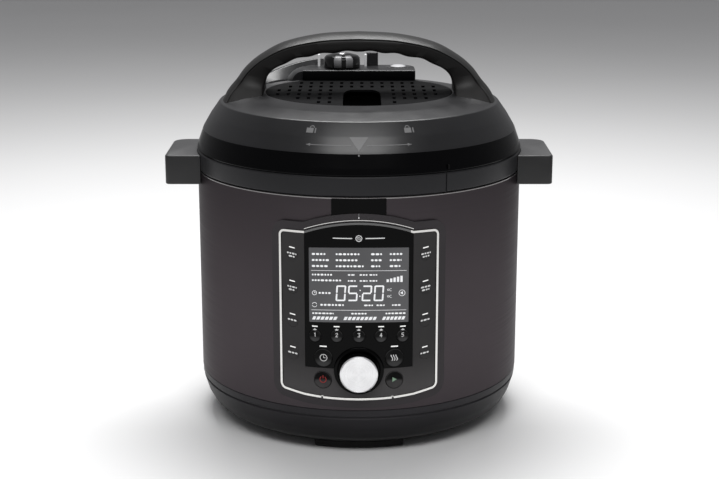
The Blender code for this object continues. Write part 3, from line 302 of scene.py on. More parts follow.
# painted shade: near black with no reflection, for the hollow under the perforated cover and the release
# button in its slot
PAINTED_SHADE_BLACK = plastic("painted_shade_black", (0.0006, 0.0006, 0.0006), 0.60, grain=0.00002, specular=0.0)
GLOSS_BLACK = plastic("gloss_black", (0.0030, 0.0030, 0.0032), 0.10, grain=0.0, specular=0.35)
GLASS_BLACK = plastic("glass_black", (0.0012, 0.0012, 0.0013), 0.14, grain=0.0, specular=0.08)
# painted light: the film is lighter towards the foot of the panel, up to 2.1 times, against the dial's
# shadow
PANEL_FILM = plastic("panel_film", (0.0270, 0.0256, 0.0260), 0.50, grain=0.00002, specular=0.22,
                     shade=("Object", 0.060, 0.085, 2.1, 1.0))
BEZEL_PLASTIC = plastic("bezel_plastic", (0.0330, 0.0295, 0.0320), 0.48, specular=0.20)
# painted light and shade: key faces that turn upwards keep this colour, level and downward faces go nearly
# black
KEY_PLASTIC = plastic("key_plastic", (0.0450, 0.0450, 0.0455), 0.40, grain=0.00002, specular=0.12,
                      shade=("Normal", 0.03, 0.30, 0.03, 1.0))
# painted light and shade: as with the keys, only faces that turn upwards keep this colour
COMMAND_PLASTIC = plastic("command_plastic", (0.0480, 0.0460, 0.0465), 0.45, grain=0.00002, specular=0.10,
                          shade=("Normal", -0.04, 0.10, 0.03, 1.0))
TRIM_SHADE = brushed("trim_shade", (0.16, 0.16, 0.16), 0.35, depth=0.000004, uneven=0.04)
LCD_GLASS = plastic("lcd_glass", (0.1150, 0.1150, 0.1190), 0.40, grain=0.00002, scale=5200, specular=0.1)
DARK_INSIDE = plastic("dark_inside", (0.0050, 0.0050, 0.0052), 0.6, specular=0.2)
SILICONE = plastic("silicone", (0.58, 0.57, 0.54), 0.50, grain=0.00003, uneven=0.05)
RUBBER = plastic("rubber", (0.0120, 0.0120, 0.0120), 0.78, grain=0.00010, scale=1500, specular=0.2)
STRIPE_GREY = plastic("stripe_grey", (0.19, 0.19, 0.195), 0.30, grain=0.0, specular=0.4, uneven=0.05)
FLOAT_GREY = plastic("float_grey", (0.40, 0.40, 0.41), 0.42, grain=0.0, specular=0.4, uneven=0.04)
# painted highlight: the valve guard posts are painted near white, standing in for the bright lines of light
# on them
POST_HIGHLIGHT_WHITE = plastic("post_painted_highlight", (0.78, 0.78, 0.79), 0.25, grain=0.0, specular=0.6, uneven=0.04)
EMBOSS_GREY = plastic("emboss_grey", (0.150, 0.150, 0.152), 0.45, grain=0.00002)
PRINT_WHITE = plastic("print_white", (0.72, 0.72, 0.72), 0.45, grain=0.00002, uneven=0.05)
PRINT_RED = plastic("print_red", (0.32, 0.022, 0.020), 0.45, grain=0.00002)
PRINT_GREEN = plastic("print_green", (0.22, 0.34, 0.24), 0.45, grain=0.00002)
LCD_WHITE = glowing("lcd_white", (0.80, 0.81, 0.82), 0.25)
LAMP_WHITE = glowing("lamp_white", (0.85, 0.85, 0.84), 0.30)
BOARD_GREEN = plastic("board_green", (0.010, 0.090, 0.035), 0.35, grain=0.00008, scale=900)
CLEAR_PLASTIC = clear_plastic("clear_plastic")

# ---------------------------------------------------------------- shape helpers


def finish_mesh(name, builder, surface, angle=35):
    bmesh.ops.remove_doubles(builder, verts=builder.verts, dist=1e-7)
    bmesh.ops.recalc_face_normals(builder, faces=builder.faces)
    mesh = bpy.data.meshes.new(name)
    builder.to_mesh(mesh)
    builder.free()
    mesh.shade_smooth()
    mesh.set_sharp_from_angle(angle=math.radians(angle))
    if surface:
        mesh.materials.append(surface)
    made = bpy.data.objects.new(name, mesh)
    made.location.y = AXIS_Y
    bpy.context.scene.collection.objects.link(made)
    return made


def rounded(points, radii, steps=5):
    """A closed outline whose corners have these radii; a radius of 0 leaves a corner sharp."""
    if not isinstance(radii, (list, tuple)):
        radii = [radii] * len(points)
    outline = []
    for index, (here, radius) in enumerate(zip(points, radii)):
        if not radius:
            outline.append(tuple(here))
            continue
        corner = Vector(here)
        before = Vector(points[index - 1]) - corner
        after = Vector(points[(index + 1) % len(points)]) - corner
        half = before.angle(after) / 2
        reach = min(radius / math.tan(half), before.length * 0.49, after.length * 0.49)
        radius = reach * math.tan(half)
        centre = corner + (before.normalized()
                           + after.normalized()).normalized() * (radius / math.sin(half))
        first = corner + before.normalized() * reach - centre
        last = corner + after.normalized() * reach - centre
        start = math.atan2(first.y, first.x)
        sweep = (math.atan2(last.y, last.x) - start + math.pi) % math.tau - math.pi
        for step in range(steps + 1):
            angle = start + sweep * step / steps
            outline.append((centre.x + radius * math.cos(angle), centre.y + radius * math.sin(angle)))
    return outline


def lathe(name, outline, surface=None, sides=FINE, centre=(0.0, 0.0)):
    """Spins a closed (radius, z) outline about an upright axis."""
    builder = bmesh.new()
    rings = []
    for side in range(sides):
        turned = math.cos(math.tau * side / sides), math.sin(math.tau * side / sides)
        rings.append([builder.verts.new((r * turned[0], r * turned[1], z)) for r, z in outline])
    count = len(outline)
    for here, after in zip(rings, rings[1:] + rings[:1]):
        for index in range(count):
            follow = (index + 1) % count
            if outline[index][0] > 0 or outline[follow][0] > 0:
                builder.faces.new((here[index], here[follow], after[follow], after[index]))
    bmesh.ops.remove_doubles(builder, verts=builder.verts, dist=1e-7)
    bmesh.ops.translate(builder, vec=(*centre, 0), verts=builder.verts)
    return finish_mesh(name, builder, surface)


def raise_outline(builder, corners, lift):
    """A flat face through the corners, extruded by the vector lift."""
    face = builder.faces.new([builder.verts.new(corner) for corner in corners])
    grown = bmesh.ops.extrude_face_region(builder, geom=[face])["geom"]
    lifted = [item for item in grown if isinstance(item, bmesh.types.BMVert)]
    bmesh.ops.translate(builder, vec=lift, verts=lifted)


def prism(name, outline, bottom, top, surface=None):
    builder = bmesh.new()
    raise_outline(builder, [(x, y, bottom) for x, y in outline], (0, 0, top - bottom))
    return finish_mesh(name, builder, surface)


def loft(name, rings, surface, angle=35):
    """A skin through rings of points, closed at both ends."""
    builder = bmesh.new()
    rows = [[builder.verts.new(point) for point in ring] for ring in rings]
    for first, second in zip(rows, rows[1:]):
        for index in range(len(first)):
            after = (index + 1) % len(first)
            builder.faces.new((first[index], first[after], second[after], second[index]))
    builder.faces.new(rows[0])
    builder.faces.new(rows[-1])
    return finish_mesh(name, builder, surface, angle)


def paint(made, surface, wanted):
    """Another material on the faces that are wanted."""
    made.data.materials.append(surface)
    for face in made.data.polygons:
        if wanted(face):
            face.material_index = len(made.data.materials) - 1


def block(name, first, last, surface=None):
    outline = [(first[0], first[1]), (last[0], first[1]), (last[0], last[1]), (first[0], last[1])]
    return prism(name, outline, first[2], last[2], surface)


def arc(x, y, radius, start, end, steps):
    angles = [math.radians(start + (end - start) * step / steps) for step in range(steps + 1)]
    return [(x + radius * math.cos(a), y + radius * math.sin(a)) for a in angles]


def bake(made):
    """Makes the evaluated mesh the piece's own mesh."""
    bpy.context.view_layer.update()
    graph = bpy.context.evaluated_depsgraph_get()
    mesh = bpy.data.meshes.new_from_object(made.evaluated_get(graph))
    made.modifiers.clear()
    made.data = mesh
    return made


def combine(target, operation, tools):
    for tool in tools:
        step = target.modifiers.new(tool.name, "BOOLEAN")
        step.operation = operation
        step.object = tool
    bake(target)
    for tool in tools:
        bpy.data.objects.remove(tool, do_unlink=True)
    target.data.shade_smooth()
    target.data.set_sharp_from_angle(angle=math.radians(35))
    return target


def cut(target, *tools):
    return combine(target, "DIFFERENCE", tools)


def join(target, *tools):
    return combine(target, "UNION", tools)


def soften(made, width, segments=3, angle=35):
    """Rounds every sharp edge by this width."""
    step = made.modifiers.new("edges", "BEVEL")
    step.width = width
    step.segments = segments
    step.limit_method = "ANGLE"
    step.angle_limit = math.radians(angle)
    step.miter_outer = "MITER_ARC"
    step.harden_normals = True
    return bake(made)


def bend(builder):
    """Wraps (distance along the curve, -radius, height) round the shell."""
    for vert in builder.verts:
        angle, radius = vert.co.x / SHELL, -vert.co.y
        vert.co.x, vert.co.y = radius * math.sin(angle), -radius * math.cos(angle)


STRIP = 0.0025  # width of the upright strips of a piece that bends round the shell


def slice_strips(builder, widest, offset=0.0001):
    """Cuts a flat mesh into strips and triangles, so that it bends smoothly."""
    count = int(widest / STRIP)
    for step in range(-count, count + 1):
        everything = builder.verts[:] + builder.edges[:] + builder.faces[:]
        line = (step * STRIP + offset, 0, 0)
        bmesh.ops.bisect_plane(builder, geom=everything, plane_co=line, plane_no=(1, 0, 0))
    bmesh.ops.triangulate(builder, faces=builder.faces)


def curved(name, outline, inner, outer, surface=None):
    """A plate that follows the shell: outline in (distance along the curve, height)."""
    builder = bmesh.new()
    raise_outline(builder, [(u, -inner, z) for u, z in outline], (0, inner - outer, 0))
    slice_strips(builder, max(abs(u) for u, _ in outline))
    bend(builder)
    return finish_mesh(name, builder, surface)


def facing_front(made, height):
    """Stands a piece modelled along +Z so that it points along -Y at this height."""
    made.data.transform(Matrix.Translation((0, 0, height)) @ Matrix.Rotation(math.pi / 2, 4, "X"))
    return made


def stand(made, x=0.0):
    """Turns a piece modelled along +Z so that it runs along +Y, moved sideways by x."""
    made.data.transform(Matrix(((1, 0, 0, x), (0, 0, 1, 0), (0, 1, 0, 0), (0, 0, 0, 1))))
    made.data.flip_normals()
    return made


def radial(made, along, height):
    """Stands a piece modelled along +Z square to the shell, at this distance along the curve."""
    turned = Matrix.Rotation(along / SHELL, 4, "Z") @ Matrix.Rotation(math.pi / 2, 4, "X")
    made.data.transform(Matrix.Translation((0, 0, height)) @ turned)
    return made


def sector(inner, outer, middle, half_angle, steps=12):
    outside = arc(0, 0, outer, middle - half_angle, middle + half_angle, steps)
    return outside + arc(0, 0, inner, middle + half_angle, middle - half_angle, steps)


def place(piece, body, surface_slot, *nodes):
    """Every piece rides on a body and may stand for CAD nodes; surface_slot is not used."""
    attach(piece, body)
    if nodes:
        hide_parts(*nodes)


def keep(node, surface):
    """A CAD node whose shape is right keeps it and takes a finished material."""
    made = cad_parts[node]
    made.data.materials.clear()
    made.data.materials.append(surface)


# ---------------------------------------------------------------- base: casing


def feet():
    for name, middle in (("front", 270), ("right", 0), ("rear", 90), ("left", 180)):
        outer = BASE_OPENING + 0.0035
        outline = sector(outer - 0.0195, outer, middle, 18.6, 20)
        foot = soften(prism(f"{name}_foot", outline, 0, high(f"foot_{name}").z, RUBBER), 0.0016, 3)
        place(foot, "base", "rubber", f"foot_{name}")


def base_ring():
    top = BASE_HIGH
    points = [
        (SHELL - 0.0004, top), (SHELL - 0.0004, top - 0.0055), (SHELL - 0.0018, top - 0.0062),
        (SHELL - 0.0018, top - 0.0070), (SHELL - 0.0008, top - 0.0078), (SHELL - 0.0042, BASE_LOW + 0.015),
        (SHELL - 0.0092, BASE_LOW + 0.006), (SHELL - 0.0190, BASE_LOW), (BASE_OPENING, BASE_LOW),
        (BASE_OPENING, BASE_LOW + 0.003), (SHELL - 0.011, BASE_LOW + 0.010), (SHELL - 0.005, top),
    ]
    radii = [0.0008, 0.0006, 0.0004, 0.0004, 0.0008, 0.020, 0.012, 0.008, 0.0006, 0, 0, 0]
    ring = lathe("base_body", rounded(points, radii, 6), BASE_PLASTIC)
    inlet_low, inlet_high = low("power_inlet"), high("power_inlet")
    hole = block(
        "inlet_hole", (inlet_low.x - GAP, BASE_OPENING - 0.002, inlet_low.z - GAP),
        (inlet_high.x + GAP, SHELL + 0.013, inlet_high.z + GAP))
    place(cut(ring, hole), "base", "black_plastic", "base_ring")


def bottom_cover():
    floor = rounded([(0, BASE_LOW), (BASE_OPENING - GAP, BASE_LOW), (BASE_OPENING - GAP, BASE_LOW + 0.0025),
                     (0, BASE_LOW + 0.0025)], [0, 0.0006, 0.0006, 0])
    cover = lathe("underside_cover", floor, BASE_PLASTIC)
    vents = []
    for row in range(4):
        y = -0.050 + row * 0.009
        ends = arc(0.028, y, 0.002, -90, 90, 8) + arc(-0.028, y, 0.002, 90, 270, 8)
        vents.append(prism(f"vent_{row}", ends, 0, 0.02))
    place(cut(cover, *vents), "base", "grey_plastic", "bottom_cover")
    for index, (x, y) in enumerate(((-0.04, 0), (0.04, 0), (-0.04, 0.05), (0.04, 0.05))):
        post = [(0, BASE_LOW + 0.0026), (0.004, BASE_LOW + 0.0026), (0.004, BASE_LOW + 0.0116),
                (0, BASE_LOW + 0.0116)]
        place(lathe(f"board_post_{index}", rounded(post, [0, 0, 0.0005, 0]), BASE_PLASTIC, COARSE, (x, y)),
              "base", "grey_plastic")


def outer_shell():
    wall = SHELL - 0.001
    tube = [(SHELL - 0.0007, STEEL_HIGH), (SHELL, STEEL_HIGH - 0.0006), (SHELL, STEEL_LOW),
            (wall, STEEL_LOW), (wall, STEEL_HIGH)]
    tube = rounded(tube, [0.0001, 0.0003, 0.0003, 0, 0], 3)
    half, bottom, top = PANEL_HALF_WIDTH - 0.004, PANEL_LOW + 0.003, PANEL_HIGH - 0.0055

    def window(height):
        opening = [(-half, bottom), (half, bottom), (half, height), (-half, height)]
        return curved("window", opening, wall - 0.004, SHELL + 0.004)

    place(cut(lathe("steel_drum", tube, DARK_STEEL), window(top)), "base", "dark_steel", "outer_shell")
    # the lip ring's paler metal is a painted highlight
    inside, face = SHELL - 0.0005, SHELL + 0.0001
    edge = [(inside, STEEL_HIGH - 0.0010), (face, STEEL_HIGH - 0.0010),
            (face + 0.00015, STEEL_HIGH - 0.0005),
            (face, STEEL_HIGH - 0.0001), (inside, STEEL_HIGH - 0.0001)]
    place(cut(lathe("steel_edge", edge, STEEL_EDGE_HIGHLIGHT), window(top + 0.01)), "base", "silver")


def upper_collar():
    bottom, top = STEEL_HIGH + GAP, COLLAR_HIGH - GAP
    ledge = high("inner_housing").z + GAP
    points = [
        (SHELL - 0.0004, top), (SHELL + 0.0003, top - 0.0008), (SHELL + 0.0003, bottom + 0.0014),
        (SHELL - 0.0008, bottom), (SHELL - 0.0025, bottom), (SHELL - 0.0025, ledge),
              (SHELL - 0.0085, ledge),
        (SHELL - 0.0085, top),
    ]
    collar = lathe("collar_ring", rounded(points, [0.0005, 0.0008, 0.0005, 0.0003, 0, 0, 0.0004, 0.0012]),
                   COLLAR_PLASTIC)
    cup_back, cup_top = high("condensation_cup").y - AXIS_Y, high("condensation_cup").z
    tip = high("condensation_cup").x + 0.0028
    shelf_low, shelf_back = bottom + 0.0004, cup_back - 0.005
    shelf = [(-tip, SHELL - 0.0055), (tip, SHELL - 0.0055), (tip, shelf_back), (-tip, shelf_back)]
    shelf = prism("shelf", rounded(shelf, [0, 0, 0.003, 0.003]), shelf_low, shelf_low + 0.0022)
    rails = []
    for side in (-1, 1):
        foot, back = side * (tip - 0.0045), side * (tip - 0.0024)
        section = [(foot, cup_top - 0.0058), (side * tip, cup_top - 0.0058), (side * tip, cup_top + 0.0025),
                   (back, cup_top + 0.0025), (back, cup_top - 0.004), (foot, cup_top - 0.004)]
        rails.append(stand(prism(f"rail_{side}", section, SHELL + 0.0005, cup_back - 0.0052)))
    join(collar, shelf, *rails)
    drain = [(-0.008, SHELL + 0.004), (0.008, SHELL + 0.004), (0.008, cup_back - 0.011),
             (-0.008, cup_back - 0.011)]
    groove = block("groove", (-0.0006, -(SHELL + 0.002), bottom - 0.001),
                   (0.0006, -(SHELL - 0.0006), top + 0.002))
    groove.data.transform(Matrix.Rotation(math.radians(GROOVE_ANGLE), 4, "Z"))
    cut(collar, prism("drain", rounded(drain, 0.002), bottom - 0.002, bottom + 0.01), groove)
    place(collar, "base", "black_plastic", "upper_collar")


PIN_ANGLE = 33.6  # degrees to the right of the front
GROOVE_ANGLE = 29.8


def side_handles():
    top, bottom = high("side_handle_right").z, low("side_handle_right").z
    tip, half, wall = high("side_handle_right").x, 0.0385, 0.0024

    def outline(shrink):
        end, reach, inside = half - shrink, tip - shrink, SHELL - 0.037
        corner = arc(reach - 0.004, -end + 0.004, 0.004, -90, 0, 8)
        far = arc(reach - 0.012, end - 0.012, 0.012, 0, 90, 12)
        return [(inside, -end)] + corner + far + [(inside, end)]

    for side, word in ((1, "right"), (-1, "left")):
        grip = prism(f"grip_{word}", outline(0), bottom, top, HANDLE_PLASTIC)
        soften(grip, 0.0011, 4)
        hollow = prism("hollow", outline(wall), bottom - 0.01, top - wall)
        web = lathe("web", [(0, top - 0.001), (SHELL + 0.0028, top - 0.001), (SHELL + 0.0028, bottom),
                            (0, bottom)])
        cut(hollow, web)
        clear = [(0, top + 0.01), (SHELL + 0.0006, top + 0.01), (SHELL + 0.0006, bottom - 0.01),
                 (0, bottom - 0.01)]
        cut(grip, hollow, lathe("clear", clear))
        if side < 0:
            grip.data.transform(Matrix.Scale(-1, 4, (1, 0, 0)))
            grip.data.flip_normals()
        place(grip, "base", "black_plastic", f"side_handle_{word}")


def condensation_cup():
    bottom, top = low("condensation_cup").z, high("condensation_cup").z
    back, flange = high("condensation_cup").y - AXIS_Y, high("condensation_cup").x
    half = flange - 0.0027

    def outline(shrink):
        h, f, b = half - shrink, SHELL + 0.0012 + shrink, back - shrink
        return rounded([(-h, f), (h, f), (h, b - 0.008), (h - 0.008, b), (-h + 0.008, b), (-h, b - 0.008)],
                       [0.0008, 0.0008, 0.004, 0.004, 0.004, 0.004], 6)

    cup = prism("drip_cup", outline(0), bottom, top, CLEAR_PLASTIC)
    soften(cup, 0.0008, 3)
    join(cup, block("flange", (-flange, SHELL + 0.0012, top - 0.0037),
                    (flange, back - 0.011, top - 0.0019)))
    cut(cup, prism("inside", outline(0.0018), bottom + 0.0018, top + 0.01))
    place(cup, "drip_cup", "clear_plastic", "condensation_cup")


def power_inlet():
    first, last = low("power_inlet"), high("power_inlet")
    half, back, face = last.x, first.y - AXIS_Y, last.y - AXIS_Y
    bottom, top = first.z, last.z

    def section(shrink, chamfer):
        h, b, t = half - shrink, bottom + shrink, top - shrink
        return rounded([(-h, b), (h, b), (h, t - chamfer), (h - chamfer, t), (-h + chamfer, t),
                        (-h, t - chamfer)], 0.0008, 4)

    body = stand(prism("inlet_body", section(0, 0.0015), back, face, BASE_PLASTIC))
    cut(body, stand(prism("socket", section(0.0022, 0.004), back + 0.003, face + 0.01)))
    place(body, "base", "black_plastic", "power_inlet")
    for index, (x, z) in enumerate(((-0.007, 0.0075), (0.007, 0.0075), (0.0, 0.014))):
        blade = block(f"inlet_blade_{index}", (x - 0.001, back + 0.0031, bottom + z - 0.002),
                      (x + 0.001, back + 0.013, bottom + z + 0.002), CHROME)
        place(soften(blade, 0.0004, 2), "base", "black_plastic")


# ---------------------------------------------------------------- base: cooking vessel

LUG_ANGLES = [60 * index + 30 for index in range(6)]


def lugs(inner, outer, bottom, top, half_angle):
    return [soften(prism(f"lug_{angle}", sector(inner, outer, angle, half_angle, 10), bottom, top), 0.0003,
                   2)
            for angle in LUG_ANGLES]


def inner_housing():
    top, bottom = high("inner_housing").z, low("inner_housing").z
    wall, inner = 0.0012, 0.1208
    flange = high("inner_housing").x
    points = [(inner, top), (flange, top), (flange, top - wall), (inner + wall, top - wall),
              (inner + wall, bottom), (0.0052, bottom), (0.0052, bottom + wall), (inner, bottom + wall)]
    liner = lathe("heater_liner", rounded(points, [0.001, 0.0004, 0.0004, 0, 0.004, 0, 0, 0.003]),
                  BRIGHT_STEEL)
    join(liner, *lugs(inner - 0.0048, inner + 0.0006, top - 0.0018, top - 0.0001, 12))
    place(liner, "base", "bright_steel", "inner_housing")


def heating_plate():
    top, bottom, outer = high("heating_plate").z, low("heating_plate").z, 0.104
    points = [(0.016, top), (outer - 0.0035, top), (outer, top - 0.002), (outer, top - 0.006),
              (outer - 0.014, top - 0.007), (outer - 0.014, bottom), (0.016, bottom)]
    plate = lathe("cast_heater", rounded(points, [0.0006, 0.002, 0.001, 0.001, 0.001, 0, 0]), ALUMINIUM)
    place(plate, "base", "aluminium", "heating_plate")


def temperature_sensor():
    top, bottom = high("temperature_sensor").z, low("temperature_sensor").z
    points = [(0, top), (0.0145, top), (0.0145, top - 0.005), (0.0045, top - 0.005), (0.0045, bottom),
              (0, bottom)]
    sensor = lathe("sensor_head", rounded(points, [0, 0.001, 0.0006, 0, 0.0005, 0]), ALUMINIUM, MEDIUM)
    place(sensor, "sensor", "aluminium", "temperature_sensor")


def inner_pot():
    outer, bottom, rim = 0.1105, low("inner_pot").z, high("inner_pot").z
    edge, wall = high("inner_pot").x, 0.0015
    points = [(0, bottom), (outer, bottom), (outer, rim - wall), (edge, rim - wall), (edge, rim),
              (outer - wall, rim), (outer - wall, bottom + wall), (0, bottom + wall)]
    pot = lathe("cooking_pot", rounded(points, [0, 0.010, 0.001, 0.0006, 0.0006, 0.0012, 0.0085, 0], 8),
                SPUN_STEEL)
    place(pot, "pot", "bright_steel", "inner_pot")


# ---------------------------------------------------------------- base: control panel


def inset(outline, distance):
    """The outline moved inwards (outwards if negative); it runs anticlockwise."""
    moved = []
    for before, here, after in zip(outline[-1:] + outline[:-1], outline, outline[1:] + outline[:1]):
        first = (Vector(here) - Vector(before)).normalized()
        second = (Vector(after) - Vector(here)).normalized()
        across = (Vector((-first.y, first.x)) + Vector((-second.y, second.x))).normalized()
        length = distance / max(0.5, across.dot(Vector((-first.y, first.x))))
        moved.append(tuple(Vector(here) + across * length))
    return moved


def panel_outline():
    """Foot bowed down, upright sides, and a crown that bows up over the black window."""
    edge, corner = PANEL_HALF_WIDTH, 0.0045
    right = [(0.0140, PANEL_LOW + 0.0002), (0.0265, PANEL_LOW + 0.0007), (0.0435, PANEL_LOW + 0.0023)]
    right += arc(edge - 0.006, PANEL_LOW + 0.0110, 0.006, -68, 0, 8)
    right += arc(edge - corner, PANEL_HIGH - corner, corner, 0, 90, 8)
    crown = PANEL_CROWN - PANEL_HIGH
    for step in range(12, 0, -1):
        share = step / 12
        right.append((GLASS_HALF_WIDTH * share, PANEL_HIGH + crown * (1 - share**2)))
    left = [(-u, z) for u, z in reversed(right)]
    return [(0, PANEL_LOW)] + right + [(0, PANEL_CROWN)] + left


def glass_outline(grow):
    """The black window: its sides and foot grow by this much, its top follows the trim."""
    edge, foot = GLASS_HALF_WIDTH + grow, DIAL_HEIGHT + 0.0017 - grow
    top = inset(panel_outline(), TRIM_WIDTH + GAP)
    crown = [(u, z) for u, z in top if z > PANEL_HIGH and abs(u) < GLASS_HALF_WIDTH]
    side = PANEL_HIGH - TRIM_WIDTH - GAP
    return [(-edge, foot), (edge, foot), (edge, side)] + crown + [(-edge, side)]


def bow(u, z):
    """Height on the panel of a row that reads level from the front, which droops at its ends."""
    return z - 0.75 * u * u


FAVOURITE_PITCH, FAVOURITE_ROW, FAVOURITE_RADIUS = 0.0172, 0.1035, 0.0048
FUNCTION_COLUMN, FUNCTION_ROW, FUNCTION_RADIUS = 0.0278, 0.0848, 0.0073
COMMAND_ROW, COMMAND_RADIUS = 0.0666, 0.0070
PROGRAM_COLUMN, PROGRAM_TOP, PROGRAM_PITCH, PROGRAM_RADIUS = 0.0527, 0.1675, 0.0272, 0.0045

# each key is (name, distance along the curve, height, radius)
FAVOURITES = [(f"favourite_key_{column + 3}", column * FAVOURITE_PITCH,
               bow(column * FAVOURITE_PITCH, FAVOURITE_ROW), FAVOURITE_RADIUS) for column in range(-2, 3)]
FUNCTIONS = [("delay_key", -FUNCTION_COLUMN, FUNCTION_ROW, FUNCTION_RADIUS),
             ("warm_key", FUNCTION_COLUMN, FUNCTION_ROW, FUNCTION_RADIUS)]
COMMANDS = [("cancel_key", -FUNCTION_COLUMN - 0.0005, COMMAND_ROW, COMMAND_RADIUS),
            ("start_key", FUNCTION_COLUMN, COMMAND_ROW, COMMAND_RADIUS)]
PROGRAMS = [(f"program_key_{name}_{row + 1}", side * PROGRAM_COLUMN, PROGRAM_TOP - row * PROGRAM_PITCH,
             PROGRAM_RADIUS) for side, name in ((-1, "left"), (1, "right")) for row in range(4)]


def key_cutters(keys):
    cutters = []
    for name, u, z, radius in keys:
        wide = radius + (0.00015 if name.startswith("program") else 0.00035)
        hole = [(0, PANEL_FACE + 0.01), (wide, PANEL_FACE + 0.01), (wide, SHELL - 0.0032),
                (0, SHELL - 0.0032)]
        cutters.append(radial(lathe(f"{name}_hole", hole, None, 64), u, z))
    return cutters


def dial_cutter():
    hole = [(0, SHELL + 0.02), (RING_RADIUS + GAP, SHELL + 0.02), (RING_RADIUS + GAP, SHELL - 0.01),
            (0, SHELL - 0.01)]
    return facing_front(lathe("dial_hole", hole, None, MEDIUM), DIAL_HEIGHT)


def control_panel():
    outline = panel_outline()
    inner, outer = PANEL_BACK - 0.003, PANEL_FACE + 0.004

    frame_outline = inset(outline, -0.0068)
    bezel = curved("panel_frame", frame_outline, PANEL_BACK, PANEL_FACE - 0.0003, BEZEL_PLASTIC)
    cut(bezel, curved("opening", inset(outline, -GAP), inner, outer))
    soften(bezel, 0.0014, 4, 50)
    place(bezel, "base", "black_plastic", "control_bezel")
    # painted reflection: a thin black band on the steel between the panel and the collar stands in for a
    # dark reflection in the drum
    half, foot, top = 0.0213, PANEL_HIGH + 0.006, STEEL_HIGH - 0.0008
    reflection_band = [(-half, foot), (half, foot), (half, top), (-half, top)]
    strip = curved("painted_reflection_band", reflection_band, PANEL_BACK + 0.0001, PANEL_BACK + 0.0009, GLASS_BLACK)
    soften(strip, 0.0002, 2, 50)
    place(strip, "base", "black_plastic")

    trim = curved("silver_trim", outline, PANEL_BACK, PANEL_FACE + 0.0007, TRIM_METAL)
    cut(trim, curved("opening", inset(outline, TRIM_WIDTH), inner, outer))
    for u in (-0.0288, 0.0265):
        nick = radial(block("nick", (-0.0008, -0.0014, PANEL_BACK + 0.0002),
                            (0.0008, 0.0020, PANEL_FACE + 0.003)), u, PANEL_LOW + 0.0016)
        cut(trim, nick)
    soften(trim, 0.00035, 3, 50)
    paint(trim, TRIM_SHADE, lambda face: face.center.z > PANEL_HIGH - 0.0035
          and abs(face.center.x) < GLASS_HALF_WIDTH * 0.985)
    place(trim, "base", "silver", "panel_trim")
    # painted highlight: a thin silver line along the bezel's crown stands in for the light on the edge of
    # its recess
    under, over = [[(u, z) for u, z in inset(outline, -rise) if z > PANEL_HIGH + 0.0005 and
                    abs(u) < GLASS_HALF_WIDTH + 0.004] for rise in (0.0013, 0.0018)]
    crown = under + over[::-1]
    line = curved("crown_highlight_line", crown, PANEL_FACE - 0.0006, PANEL_FACE + 0.0001, TRIM_METAL)
    place(line, "base", "silver")

    film = curved("key_film", inset(outline, TRIM_WIDTH + GAP), PANEL_BACK, PANEL_FACE, PANEL_FILM)
    opening = [(u, z + (0.02 if z > DIAL_HEIGHT + 0.05 else 0)) for u, z in glass_outline(GAP)]
    cut(film, curved("opening", opening, inner, outer), dial_cutter(), *key_cutters(PROGRAMS + COMMANDS))
    place(soften(film, 0.00025, 2, 50), "base", "grey_plastic", "key_panel")

    glass = curved("window_glass", glass_outline(0), PANEL_BACK, PANEL_FACE, GLASS_BLACK)
    cut(glass, dial_cutter(), *key_cutters(FAVOURITES + FUNCTIONS))
    place(soften(glass, 0.00025, 2, 50), "base", "gloss_black", "display_glass")


def keys():
    """Round keys with a shallow dish, so that the light catches each dish's lower half; the favourite,
    function and command keys' plastic also paints upward faces lighter and the rest nearly black: painted
    light and shade.
    """
    back, flange = SHELL - 0.0032, PANEL_BACK - 0.0009
    kinds = [(FAVOURITES, KEY_PLASTIC, "gloss_black", 0.0014),
             (FUNCTIONS, KEY_PLASTIC, "gloss_black", 0.0019),
             (COMMANDS, COMMAND_PLASTIC, "gloss_black", 0.0020),
             (PROGRAMS, PANEL_FILM, "grey_plastic", 0.0001)]
    for group, surface, slot, depth in kinds:
        for name, u, z, radius in group:
            face = PANEL_FACE + (0.0001 if group is PROGRAMS else 0.0004)
            dish = radius - 0.0004
            floor = [(dish * step / 8, face - depth * (1 - (step / 8) ** 2)) for step in range(9)]
            side = rounded([(dish, face), (radius, face), (radius, flange), (radius - 0.001, flange)],
                           [0.0, 0.0003, 0, 0], 4)[1:-1]
            skirt = [(radius + 0.0007, flange), (radius + 0.0007, back), (0, back)]
            key = radial(lathe(name.replace("_key", "_cap"), floor + side + skirt, surface, 64), u, z)
            place(key, name + "_body", slot, name)


